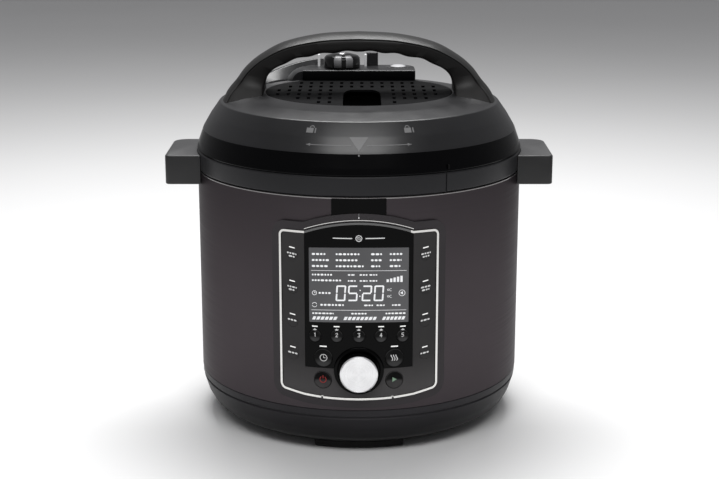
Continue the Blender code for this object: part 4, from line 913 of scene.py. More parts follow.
def dial():
    rim, face, bore = DIAL_RADIUS + 0.0013, PANEL_FACE + 0.0014, 0.0033
    points = [(bore, RING_BACK), (RING_RADIUS, RING_BACK), (RING_RADIUS, face - 0.0004),
              (RING_RADIUS - 0.0016, face),
              (rim, face - 0.0002), (rim, RING_BACK + 0.002), (bore, RING_BACK + 0.002)]
    ring = facing_front(lathe("dial_surround", rounded(points, [0, 0, 0.0006, 0.0008, 0.0005, 0, 0]),
                              GLASS_BLACK), DIAL_HEIGHT)
    place(ring, "base", "black_plastic", "dial_ring")

    shaft_back, shaft_front = AXIS_Y - high("dial_shaft").y, AXIS_Y - low("dial_shaft").y
    shaft = rounded([(0, shaft_front), (0.003, shaft_front), (0.003, shaft_back), (0, shaft_back)],
                    [0, 0.0004, 0.0004, 0])
    place(facing_front(lathe("dial_axle_rod", shaft, BRIGHT_STEEL, COARSE), DIAL_HEIGHT), "dial_axle",
          "bright_steel", "dial_shaft")

    edge = DIAL_RADIUS
    points = [(0, DIAL_FRONT - 0.0003), (edge - 0.0012, DIAL_FRONT - 0.0002), (edge - 0.0009, DIAL_FRONT),
              (edge, DIAL_FRONT - 0.0010),
              (edge, DIAL_BACK), (bore, DIAL_BACK), (bore, shaft_front + GAP), (0, shaft_front + GAP)]
    knob = lathe("dial_cap", rounded(points, [0, 0.0002, 0.0002, 0.0006, 0.0005, 0, 0, 0]), DIAL_METAL)
    # painted shade: the dial's side takes gloss black in place of its metal, standing in for the dark
    # reflection there
    paint(knob, GLOSS_BLACK, lambda face: face.center.z < DIAL_FRONT - 0.0016)
    place(facing_front(knob, DIAL_HEIGHT), "dial", "silver", "dial_knob")


def electronics():
    """Boards and the display module, which show only when the casing is looked into."""
    keep("control_board", BOARD_GREEN)
    keep("power_board", BOARD_GREEN)
    keep("display_module", DARK_INSIDE)
    keep("sensor_spring", BRIGHT_STEEL)


# ---------------------------------------------------------------- printed and lit marks

MARK_FACE = PANEL_FACE + 0.00004
MARK_HEIGHT = 0.00006


def pill(u, z, width, height):
    """A short bar with round ends."""
    r, steps = min(width, height) / 2, 4
    if width >= height:
        shape = arc(width / 2 - r, 0, r, -90, 90, steps) + arc(-width / 2 + r, 0, r, 90, 270, steps)
    else:
        shape = arc(0, height / 2 - r, r, 0, 180, steps) + arc(0, -height / 2 + r, r, 180, 360, steps)
    return [(u + x, z + y) for x, y in shape]


def slab(u, z, width, height, lean=0.0):
    """A bar with square ends; lean shifts its top sideways."""
    half, tall = width / 2, height / 2
    return [(u + x + lean * y, z + y) for x,
            y in ((-half, -tall), (half, -tall), (half, tall), (-half, tall))]


def ring_marks(u, z, radius, line, start=0, end=360, steps=24):
    """Part of a ring, or a whole one as two halves, so that each outline is simple."""
    pieces = 2 if end - start >= 360 else 1
    sweep = (end - start) / pieces
    spans = [(start + sweep * index, start + sweep * (index + 1)) for index in range(pieces)]
    return [arc(u, z, radius, a, b, steps // pieces) + arc(u, z, radius - line, b, a, steps // pieces)
            for a, b in spans]


def word(u, z, width, height, seed, gap=0.0006):
    """A run of dashes that stands for a word: no letters."""
    chance = random.Random(seed)
    shapes, at = [], u
    while at < u + width - 0.0006:
        length = min(chance.uniform(0.0014, 0.0030), u + width - at)
        shapes.append(pill(at + length / 2, z, length, height))
        at += length + gap
    return shapes


DIGIT_LEAN = 0.06
DIGIT_SEGMENTS = {"0": "abcdef", "5": "acdfg", "2": "abdeg"}


def digit(character, u, z, width, height, line):
    """Seven-segment figure, bars a to g, with its lower left corner at (u, z)."""
    half, gap, lean = height / 2, line * 0.12, DIGIT_LEAN
    places = {
        "a": (width / 2, height - line / 2, 0), "g": (width / 2, half, 0), "d": (width / 2, line / 2, 0),
        "b": (width - line / 2, half * 1.5, 1), "c": (width - line / 2, half * 0.5, 1),
        "f": (line / 2, half * 1.5, 1), "e": (line / 2, half * 0.5, 1),
    }
    shapes = []
    for name in DIGIT_SEGMENTS[character]:
        x, y, tall = places[name]
        if tall:
            long, cut_end = half - 2 * gap, line * 0.45
            bar = [(-line / 2, -long / 2 + cut_end), (0, -long / 2), (line / 2, -long / 2 + cut_end),
                   (line / 2, long / 2 - cut_end), (0, long / 2), (-line / 2, long / 2 - cut_end)]
        else:
            long, cut_end = width - line - 2 * gap, line * 0.1
            bar = [(-long / 2, -line / 2 + cut_end), (-long / 2 + cut_end, -line / 2),
                   (long / 2 - cut_end, -line / 2),
                   (long / 2, -line / 2 + cut_end), (long / 2, line / 2 - cut_end),
                   (long / 2 - cut_end, line / 2),
                   (-long / 2 + cut_end, line / 2), (-long / 2, line / 2 - cut_end)]
        shapes.append([(u + x + dx + lean * (y + dy), z + y + dy) for dx, dy in bar])
    return shapes


def marks(name, shapes, surface, face=MARK_FACE, height=MARK_HEIGHT, level=False):
    """Thin raised print that follows the shell, as one piece; level rows read level from the front."""
    builder = bmesh.new()
    for outline in shapes:
        raise_outline(builder, [(u, -face, z) for u, z in outline], (0, -height, 0))
    slice_strips(builder, max(abs(u) for outline in shapes for u, _ in outline), 0.00013)
    if level:
        for vert in builder.verts:
            vert.co.z = bow(vert.co.x, vert.co.z)
    bend(builder)
    return finish_mesh(name, builder, surface)


DISPLAY_HALF_WIDTH, DISPLAY_LOW, DISPLAY_HIGH = 0.0388, 0.1150, 0.1755


def display():
    """The lit display: dashes for words, a clock reading, level bars and progress bars."""
    edge, bottom, top = DISPLAY_HALF_WIDTH, DISPLAY_LOW, DISPLAY_HIGH
    window = rounded([(-edge, bottom), (edge, bottom), (edge, top), (-edge, top)], 0.0006, 3)
    place(marks("display_back", [window], LCD_GLASS, PANEL_FACE + 0.00003, 0.00003, True), "base",
          "gloss_black")

    def at(share):
        return top - (top - bottom) * share

    shapes = []
    columns = ((-0.0365, 0.0140), (-0.0178, 0.0215), (0.0092, 0.0100), (0.0236, 0.0100))
    for row, share in enumerate((0.085, 0.165, 0.245)):
        for column, (u, width) in enumerate(columns):
            reach = width * (0.78 + 0.22 * ((row * 3 + column * 5) % 4) / 3)
            shapes += word(u, at(share), reach, 0.00165, 10 * row + column)
    for share in (0.305, 0.835):
        shapes.append(slab(0, at(share), 2 * edge - 0.0036, 0.0003))
    shapes += word(-0.0365, at(0.360), 0.0160, 0.0016, 31)
    shapes += word(-0.0365, at(0.435), 0.0230, 0.0016, 32)
    for row, share in enumerate((0.360, 0.440)):
        for column, u in enumerate((-0.0085, 0.0005, 0.0080)):
            shapes += word(u, at(share), 0.0062, 0.0012, 40 + 3 * row + column, 0.0004)
    for index in range(5):
        height = 0.0022 + 0.0007 * index
        shapes.append(slab(0.0222 + index * 0.0027, at(0.458) + height / 2, 0.0018, height))

    tall, width, line = 0.0128, 0.0076, 0.00125
    for character, u in (("0", -0.0180), ("5", -0.0088), ("2", 0.0020), ("0", 0.0112)):
        shapes += digit(character, u, at(0.712), width, tall, line)
    for z in (0.0040, 0.0088):
        shapes.append(pill(0.0005 + DIGIT_LEAN * z, at(0.712) + z, 0.0011, 0.0011))

    clock_u, clock_z = -0.0345, at(0.605)
    shapes += ring_marks(clock_u, clock_z, 0.0019, 0.0004)
    shapes += [slab(clock_u, clock_z + 0.0006, 0.0003, 0.0012),
               slab(clock_u + 0.0005, clock_z, 0.0011, 0.0003)]
    shapes += word(-0.0312, at(0.605), 0.0095, 0.0016, 51)
    for z in (at(0.560), at(0.650)):
        shapes += ring_marks(0.0226, z, 0.0008, 0.0003, steps=12)
        shapes += ring_marks(0.0248, z, 0.0012, 0.0003, 60, 300, steps=10)
    shapes += ring_marks(0.0335, at(0.605), 0.0026, 0.0004)
    shapes.append([(0.0320, at(0.605)), (0.0342, at(0.605) - 0.0013), (0.0342, at(0.605) + 0.0013)])
    bell_u, bell_z = -0.0345, at(0.765)
    shapes += ring_marks(bell_u, bell_z, 0.0020, 0.0004, 15, 165, steps=12)
    shapes += ring_marks(bell_u, bell_z, 0.0020, 0.0004, 195, 345, steps=12)
    shapes += word(-0.0300, at(0.765), 0.0185, 0.0016, 61)
    for column, u in enumerate((0.0040, 0.0135, 0.0255)):
        shapes += word(u, at(0.768), 0.0070, 0.0013, 70 + column, 0.0004)
    for column, (u, width) in enumerate(((-0.0365, 0.0170), (-0.0060, 0.0120), (0.0205, 0.0160))):
        shapes += word(u, at(0.880), width, 0.0013, 80 + column, 0.0004)
    for first, last, count in ((-0.0365, -0.0165, 6), (-0.0118, 0.0138, 8), (0.0180, 0.0362, 6)):
        pitch = (last - first) / count
        for index in range(count):
            shapes.append(slab(first + pitch * (index + 0.5), at(0.945), pitch * 0.72, 0.0026, 0.45))
    place(marks("display_marks", shapes, LCD_WHITE, PANEL_FACE + 0.00007, 0.00005, True), "base",
          "gloss_black")


def star(u, z, radius):
    points = []
    for index in range(10):
        size = radius if index % 2 == 0 else radius * 0.45
        angle = math.radians(90 + 36 * index)
        points.append((u + size * math.cos(angle), z + size * math.sin(angle)))
    return points


NUMERALS = {  # strokes of the figures 1 to 5, on a grid one unit wide and two high
    1: [((0.25, 1.6), (0.55, 2.0)), ((0.55, 2.0), (0.55, 0.0))],
    2: [((0.0, 1.6), (0.2, 1.95)), ((0.2, 1.95), (0.8, 1.95)), ((0.8, 1.95), (1.0, 1.5)),
        ((1.0, 1.5), (0.0, 0.0)), ((0.0, 0.0), (1.0, 0.0))],
    3: [((0.0, 2.0), (1.0, 2.0)), ((1.0, 2.0), (0.45, 1.15)), ((0.45, 1.15), (1.0, 0.8)),
        ((1.0, 0.8), (0.8, 0.05)), ((0.8, 0.05), (0.0, 0.1))],
    4: [((0.75, 0.0), (0.75, 2.0)), ((0.75, 2.0), (0.0, 0.6)), ((0.0, 0.6), (1.05, 0.6))],
    5: [((1.0, 2.0), (0.1, 2.0)), ((0.1, 2.0), (0.05, 1.15)), ((0.05, 1.15), (0.8, 1.2)),
        ((0.8, 1.2), (1.0, 0.6)), ((1.0, 0.6), (0.7, 0.02)), ((0.7, 0.02), (0.0, 0.08))],
}


def stroke(first, last, line):
    a, b = Vector(first), Vector(last)
    along = (b - a).normalized() * (line / 2)
    side = Vector((-along.y, along.x))
    return [tuple(a - along - side), tuple(b + along - side), tuple(b + along + side),
            tuple(a - along + side)]


def numeral(number, u, z, size):
    """A figure of this height, centred on (u, z)."""
    unit = size / 2
    return [stroke((u + (a - 0.5) * unit, z + (b - 1) * unit), (u + (c - 0.5) * unit, z + (d - 1) * unit),
                   size * 0.15)
            for (a, b), (c, d) in NUMERALS[number]]


def steam_lines(u, z, size):
    """Three rising wavy lines."""
    shapes = []
    for offset in (-0.9, 0, 0.9):
        path = [(u + size * (offset * 0.42 + 0.13 * math.sin(t * 5.2)), z + size * (t - 0.5)) for t in
                [step / 8 for step in range(9)]]
        line = size * 0.07
        shapes.append([(x + line, y) for x, y in path] + [(x - line, y) for x, y in reversed(path)])
    return shapes


def panel_marks():
    """Lamps above the keys, and generic signs where such a panel has words."""
    lamps = [slab(u, z + 0.0080, 0.0045, 0.0009) for _, u, z, _ in FAVOURITES]
    lamps += [slab(u, z + 0.0097, 0.0056, 0.0010) for _, u, z, _ in FUNCTIONS]
    for _, u, z, _ in PROGRAMS:
        lean = math.copysign(0.16, u)
        lamps.append([(x, y + lean * (x - u)) for x, y in slab(u, z + 0.0058, 0.0046, 0.0009)])
    stars = [star(u, z + 0.0050, 0.0017) for _, u, z, _ in FAVOURITES]
    badge_z = 0.1829
    badge = ring_marks(0, badge_z, 0.0026, 0.0006) + steam_lines(0, badge_z, 0.0026)
    badge += [pill(side * 0.0125, badge_z, 0.0150, 0.0008) for side in (-1, 1)]
    line, dot = [slab(0, 0.2010, 0.0006, 0.0032)], [pill(0, 0.1992, 0.0011, 0.0012)]
    bezel_face = PANEL_FACE - 0.0003
    place(marks("key_lamps", lamps, LAMP_WHITE), "base", "silver")
    place(marks("favourite_stars", stars, PRINT_WHITE), "base", "silver")
    place(marks("pointer_line", line, EMBOSS_GREY, bezel_face, 0.0002), "base", "grey_plastic")
    place(marks("pointer_dot", dot, PRINT_WHITE, bezel_face, 0.0003), "base", "silver")
    place(marks("maker_mark", badge, PRINT_WHITE), "base", "silver")

    def on_key(name, shapes, surface, key, depth=0.0012):
        sign = marks(name, shapes, surface, PANEL_FACE + 0.0005 - depth, 0.00006)
        place(sign, key + "_body", "silver")

    for index, (name, u, z, _) in enumerate(FAVOURITES):
        figure = numeral(index + 1, u, z + 0.0009, 0.0030)
        on_key(f"figure_{index + 1}", figure, PRINT_WHITE, name, 0.00085)
    (_, u, z, _), (_, warm_u, warm_z, _) = FUNCTIONS
    clock = ring_marks(u, z, 0.0030, 0.0005)
    clock += [slab(u, z + 0.0009, 0.0004, 0.0019), slab(u + 0.0008, z, 0.0018, 0.0004)]
    on_key("delay_sign", clock, PRINT_WHITE, "delay_key")
    on_key("warm_sign", steam_lines(warm_u, warm_z, 0.0050), PRINT_WHITE, "warm_key")
    (_, u, z, _), (_, start_u, start_z, _) = COMMANDS
    off = ring_marks(u, z, 0.0028, 0.0006, 125, 415) + [slab(u, z + 0.0022, 0.0006, 0.0026)]
    on_key("cancel_sign", off, PRINT_RED, "cancel_key")
    back, tip, half = start_u - 0.0014, start_u + 0.0022, 0.0020
    arrow = [[(back, start_z - half), (tip, start_z), (back, start_z + half)]]
    on_key("start_sign", arrow, PRINT_GREEN, "start_key")
    for index, (name, u, z, _) in enumerate(PROGRAMS):
        wide, narrow = 0.0080, 0.0050 + 0.0007 * (index % 3)
        shapes = word(u - wide / 2, z + 0.0011, wide, 0.0014, 90 + index, 0.0004)
        if index % 4 < 2:
            shapes += word(u - narrow / 2, z - 0.0013, narrow, 0.0014, 110 + index, 0.0004)
        lean = math.copysign(0.14, u)
        shapes = [[(x, y + lean * (x - u)) for x, y in shape] for shape in shapes]
        on_key(f"program_sign_{index + 1}", shapes, PRINT_WHITE, name, -0.00003)


# ---------------------------------------------------------------- lid: cover and handle

SHOULDER_RADIUS, SHOULDER_LEVEL = (RIDGE_RADIUS + COVER_RADIUS) / 2, (RIDGE + LID_TOP) / 2 + 0.0008


def lid_outside(rise=0.0):
    """The lid's outer outline, from the skirt's lower edge up to the cover's recess."""
    points = [
        (SHELL - 0.0004, COLLAR_HIGH), (SHELL + 0.0002, COLLAR_HIGH + 0.0010),
        (SHELL - 0.0012, COLLAR_HIGH + 0.006),
        (CREASE_RADIUS - 0.0002, SKIRT_HIGH - 0.0006), (CREASE_RADIUS - 0.0010, SKIRT_HIGH + 0.0010),
        ((CREASE_RADIUS + RIDGE_RADIUS) / 2 + 0.0006, (SKIRT_HIGH + RIDGE) / 2),
        (RIDGE_RADIUS + 0.0006, RIDGE - 0.0006), (SHOULDER_RADIUS, SHOULDER_LEVEL),
        (COVER_RADIUS + 0.0008, LID_TOP), (COVER_RADIUS, LID_TOP - 0.0006),
    ]
    radii = [0.0003, 0.0006, 0.012, 0.0007, 0.0004, 0.030, 0.0022, 0.030, 0.0005, 0.0003]
    return [(r, z + rise) for r, z in rounded(points, radii, 5)]


def upright_hole(name, x, y, radius, top):
    hole = [(0, COLLAR_HIGH - 0.001), (radius, COLLAR_HIGH - 0.001), (radius, top), (0, top)]
    return lathe(name, hole, None, 32, (x, y))


def lid_shell():
    wall = 0.0026
    roof, side = LID_FLOOR - wall, COVER_RADIUS + wall
    outline = lid_outside() + [
        (COVER_RADIUS, COVER_LEDGE), (COVER_RADIUS - 0.004, COVER_LEDGE), (COVER_RADIUS - 0.004, LID_FLOOR),
        (0, LID_FLOOR),
        (0, roof), (side, roof), (side + 0.001, LID_TOP - wall), (RIDGE_RADIUS - wall, RIDGE - wall),
        (CREASE_RADIUS - wall, SKIRT_HIGH), (SHELL - wall - 0.0004, COLLAR_HIGH + 0.003),
        (SHELL - wall, COLLAR_HIGH),
    ]
    shell = lathe("lid_body", outline, LID_PLASTIC)
    # the skirt takes the darker plastic: painted shade
    paint(shell, SKIRT_SHADE_PLASTIC, lambda face: face.center.z < SKIRT_HIGH + 0.0002
          and face.center.xy.length > CREASE_RADIUS - 0.0012)
    # the lid floor under the perforated cover is painted near black: painted shade
    paint(shell, PAINTED_SHADE_BLACK, lambda face: face.center.z > LID_FLOOR - 0.001
          and face.center.xy.length < COVER_RADIUS - 0.0035)
    cut(shell, upright_hole("pipe_hole", VALVE_X, VALVE_Y, 0.0046, BLOCK_TOP),
        upright_hole("float_hole", FLOAT_X, FLOAT_Y, 0.0028, BLOCK_TOP))
    place(shell, "lid", "black_plastic", "lid_cover")
    boss = [(0, LID_FLOOR - 0.001), (0.009, LID_FLOOR - 0.001), (0.009, high("lid_plate").z + GAP),
            (0, high("lid_plate").z + GAP)]
    place(lathe("lid_boss", rounded(boss, [0, 0, 0.0008, 0]), LID_PLASTIC, COARSE), "lid", "black_plastic")
    front, back = -(COVER_RADIUS - 0.015), high("quick_release_button").y - AXIS_Y - 0.0076
    for side in (-1, 1):
        middle = BUTTON_X + side * 0.0167
        guide = block(f"button_guide_{(side + 1) // 2}", (middle - 0.001, front, LID_FLOOR - 0.0008),
                      (middle + 0.001, back, COVER_LEDGE - 0.0006), LID_PLASTIC)
        place(soften(guide, 0.0003, 2), "lid", "black_plastic")


def smooth_path(points, per_span):
    """Catmull-Rom curve through the points."""
    ends = [points[0]] + points + [points[-1]]
    path = []
    for a, b, c, d in zip(ends, ends[1:], ends[2:], ends[3:]):
        for step in range(per_span):
            t = step / per_span
            path.append(tuple(
                0.5 * (2 * q + (r - p) * t + (2 * p - 5 * q + 4 * r - s) * t**2
                       + (3 * q - p - 3 * r + s) * t**3)
                for p, q, r, s in zip(a, b, c, d)))
    return path + [points[-1]]


ARCH_HALF, ARCH_THICKNESS = 0.018, 0.015


def arch_stations():
    """(outer x, z, inner x, z, half depth), from one foot over the crown to the other."""
    top, half = ARCH_TOP, ARCH_HALF
    foot, reach, inner = LID_TOP - 0.014, RIDGE_RADIUS + 0.001, COVER_RADIUS + 0.001
    stations = [
        (reach, foot, inner, foot, half * 2.1), (reach - 0.0065, LID_TOP, inner, LID_TOP, half * 1.45),
        (reach - 0.0145, LID_TOP + 0.0100, inner - 0.001, LID_TOP + 0.0080, half * 1.12),
        (reach - 0.0230, top - 0.0290, inner - 0.0055, LID_TOP + 0.0165, half),
        (reach - 0.0360, top - 0.0185, inner - 0.0160, top - 0.0262, half),
        (reach - 0.0560, top - 0.0083, inner - 0.0310, top - 0.0208, half),
        (reach - 0.0860, top - 0.0018, inner - 0.0540, top - ARCH_THICKNESS - 0.0018, half),
        (0, top, 0, top - ARCH_THICKNESS, half),
    ]
    right = smooth_path(stations, 14)
    return right + [(-a, b, -c, d, w) for a, b, c, d, w in reversed(right[:-1])]


def handle_arch():
    """The carrying handle: crowned bar with a seam at its front and a finger-waved underside."""
    drop, chamfer, pitch = 0.0042, 0.0020, 0.0205
    rings = []
    for outer_x, outer_z, inner_x, inner_z, depth in arch_stations():
        thick = math.hypot(outer_x - inner_x, outer_z - inner_z)
        rise = max(0.0, min(1.0, (outer_z - LID_TOP - 0.012) / 0.020))
        wave = 0.0013 * rise * (0.5 - 0.5 * math.cos(math.tau * inner_x / pitch))
        half = [(wave, 0.0024), (wave + 0.0006, 0.0008), (wave + chamfer, 0)]
        half = [(height / thick, depth - back) for height, back in half]
        seam = [(0.0018, 0), (0.0012, 0.0004), (0.0009, 0.0008), (0.0006, 0.0004)]
        half += [(1 - (drop + below) / thick, depth - back) for below, back in seam]
        half += [(1 - drop * share ** 2.4 / thick, depth * share)
                 for share in (0.985, 0.93, 0.86, 0.77, 0.66, 0.52, 0.36, 0.18, 0.0)]
        outline = half + [(height, -across) for height, across in reversed(half[:-1])]
        rings.append([(inner_x + (outer_x - inner_x) * share, across, inner_z + (outer_z - inner_z) * share)
                      for share, across in outline])
    arch = loft("carrying_handle", rings, ARCH_PLASTIC, 22)
    # upward faces of the handle's top get the lighter plastic: painted highlight
    paint(arch, CROWN_HIGHLIGHT_PLASTIC, lambda face: face.normal.z > 0.32 and face.center.z > LID_TOP + 0.012)
    radius, foot, top = COVER_RADIUS - 0.0006, COVER_LEDGE - 0.02, LID_TOP - 0.0005
    cut(arch, lathe("cover_room", [(0, foot), (radius, foot), (radius, top), (0, top)]))
    place(arch, "lid", "black_plastic")


def steam_shroud():
    """Low curved guard behind the valves, highest at its rear end, with a sloping inner face."""
    start, sweep, steps, foot, inner = 107, 40, 32, LID_TOP - 0.012, 0.1010
    rings = []
    for step in range(steps + 1):
        share = step / steps
        angle = math.radians(start + sweep * share)
        crest = BLOCK_TOP + 0.0055 - 0.0165 * share ** 1.6
        section = [(inner, foot), (inner, LID_TOP - 0.002), (0.1105, crest), (0.1155, crest - 0.0006),
                   (0.1165, foot)]
        rings.append([(r * math.cos(angle), r * math.sin(angle), z)
                      for r, z in rounded(section, [0, 0.003, 0.0016, 0.0022, 0], 6)])
    place(loft("steam_guard", rings, LID_PLASTIC), "lid", "black_plastic")


def valve_shoulder():
    """Rounded left end of the valve housing, which rolls down to the lid."""
    bottom, inside, front, length, steps = LID_TOP - 0.004, -0.0485, 0.0640, 0.0330, 20
    tall = BLOCK_TOP - 0.0003 - bottom
    rings = []
    for step in range(steps + 1):
        y = front + length * step / steps
        swell = math.sin(math.pi * (0.18 + 0.64 * step / steps)) ** 0.6
        reach, rise = 0.0150 * swell, tall * (0.80 + 0.20 * swell)
        turns = [math.radians(6 * turn + 3) for turn in range(15)]
        bulge = [(inside - 0.0010 - reach * math.cos(a), y, bottom + rise * math.sin(a)) for a in turns]
        rings.append([(inside, y, bottom)] + bulge + [(inside, y, bottom + rise)])
    place(loft("valve_shoulder", rings, LID_PLASTIC), "lid", "black_plastic")


def on_band(name, shapes):
    """Shapes in (distance along the band, distance up the slope), laid on the sloping band."""
    builder = bmesh.new()
    for outline in shapes:
        raise_outline(builder, [(u, v, 0) for u, v in outline], (0, 0, 0.00012))
    slice_strips(builder, 12.5 * STRIP)
    profile = [(r, z) for r, z in lid_outside()
               if SKIRT_HIGH + 0.0010 <= z <= RIDGE + 0.0010 and r > SHOULDER_RADIUS + 0.001]
    profile.sort(key=lambda point: point[1])
    lengths = [0.0]
    for before, after in zip(profile, profile[1:]):
        lengths.append(lengths[-1] + math.dist(before, after))
    for vert in builder.verts:
        u, v, lift = vert.co
        v = max(0.0, min(lengths[-1] - 1e-6, v))
        index = max(i for i, length in enumerate(lengths[:-1]) if length <= v)
        share = (v - lengths[index]) / max(1e-9, lengths[index + 1] - lengths[index])
        before, after = Vector(profile[index]), Vector(profile[index + 1])
        along = (after - before).normalized()
        here = before.lerp(after, share) + Vector((along.y, -along.x)) * (lift + 0.00002)
        angle = u / (SHELL - 0.010)
        vert.co = (here.x * math.sin(angle), -here.x * math.cos(angle), here.y)
    place(finish_mesh(name, builder, EMBOSS_GREY), "lid", "grey_plastic")


def lid_marks():
    """Generic lid signs: an alignment triangle, a turning arrow, two padlocks and a dot."""
    shapes, locks, level = [[(-0.0074, 0.0121), (0.0, 0.0008), (0.0074, 0.0121)]], [], 0.0052
    lock_u, lock_v, lock_height = 0.0400, 0.0170, 0.0042
    shapes += [slab(side * 0.0235, level, 0.0350, 0.0006) for side in (-1, 1)]
    for side in (-1, 1):
        tail = side * 0.0378
        shapes.append([(side * 0.0410, level), (tail, level + 0.0012), (tail, level - 0.0012)])
    on_band("lid_arrow", shapes)
    for side, swing in ((1, 0.0), (-1, 0.0016)):
        u = side * lock_u
        locks.append(slab(u, lock_v, 0.0058, lock_height))
        locks += ring_marks(u + swing, lock_v + 0.0022, 0.0021, 0.0007, 0, 180, 10)
    locks += [slab(side * lock_u + 0.0046, lock_v, 0.0010, lock_height) for side in (-1, 1)]
    on_band("lid_locks", locks)
    profile = rounded([(0, 0.0004), (0.0007, 0.0004), (0.0007, -0.0006), (0, -0.0006)], [0, 0.0002, 0, 0])
    dot = facing_front(lathe("lid_dot", profile, STRIPE_GREY, 24), SKIRT_HIGH - 0.0016)
    dot.data.transform(Matrix.Translation((0, -(CREASE_RADIUS + 0.0002), 0)))
    place(dot, "lid", "grey_plastic")


def lid_nub():
    """Small raised pointer over the collar's groove."""
    # the nub takes the darker skirt plastic: painted shade
    nub = block("pointer", (-0.0008, -(SHELL + 0.0009), COLLAR_HIGH + 0.0022),
                (0.0008, -(SHELL - 0.004), COLLAR_HIGH + 0.0062), SKIRT_SHADE_PLASTIC)
    nub.data.transform(Matrix.Rotation(math.radians(GROOVE_ANGLE + 0.8), 4, "Z"))
    place(soften(nub, 0.0004, 3), "lid", "black_plastic")


BUTTON_HALF_WIDTH, SLOT_BACK = 0.0155, 0.007


def cover_slot(name, shrink, bottom, top, surface=None):
    """Outline of the release button's slot, or of the button in it: rounded at the back."""
    half, wide, deep = BUTTON_HALF_WIDTH - shrink, 0.0085, 0.026
    front, back = -(COVER_RADIUS + 0.0115), SLOT_BACK
    if shrink:
        front = low("quick_release_button").y - AXIS_Y
        back = high("quick_release_button").y - AXIS_Y
    outline = [(BUTTON_X - half, front), (BUTTON_X + half, front)]
    turns = [math.radians(90 * step / 14) for step in range(15)]
    outline += [(BUTTON_X + half - wide + wide * math.cos(a), back - deep + deep * math.sin(a))
                for a in turns]
    outline += [(BUTTON_X - half + wide - wide * math.sin(a), back - deep + deep * math.cos(a))
                for a in turns]
    return prism(name, outline, bottom, top, surface)


PERFORATION, SLOT, PITCH_X, PITCH_Y = 0.0028, 0.0105, 0.0088, 0.0211


def diffuser_cover():
    radius = COVER_RADIUS - GAP
    side = math.degrees(math.asin((0.062 - GAP) / radius))
    outline = arc(0, 0, radius, 180 - side, 360 + side, 120)
    cover = prism("perforated_cover", outline, COVER_LEDGE + GAP, LID_TOP - 0.0002, COVER_PLASTIC)
    holes = bmesh.new()
    reach = radius - 0.0055
    for row in range(-4, 3):
        for column in range(-9, 10):
            x, y = BUTTON_X + column * PITCH_X, (row + 0.19) * PITCH_Y
            beside_slot = abs(x - BUTTON_X) > BUTTON_HALF_WIDTH + PERFORATION or y > SLOT_BACK + SLOT * 0.6
            if math.hypot(x, abs(y) + SLOT / 2) < reach and y < 0.053 and beside_slot:
                size = Matrix.Diagonal((PERFORATION, SLOT, 0.02, 1))
                bmesh.ops.create_cube(holes, size=1, matrix=Matrix.Translation((x, y, COVER_LEDGE)) @ size)
    cut(cover, cover_slot("button_slot", 0, LID_TOP - 0.03, LID_TOP + 0.03),
        finish_mesh("perforations", holes, None))
    place(soften(cover, 0.00028, 2, 50), "lid", "black_plastic", "diffuser_cover")


def release_button():
    bottom, top = low("quick_release_button").z, high("quick_release_button").z
    # the release button is painted near black with no reflection: painted shade
    button = cover_slot("release_pad", 0.0004, bottom, top, PAINTED_SHADE_BLACK)
    place(soften(button, 0.0012, 4, 50), "release_button", "gloss_black", "quick_release_button")


# ---------------------------------------------------------------- lid: valves


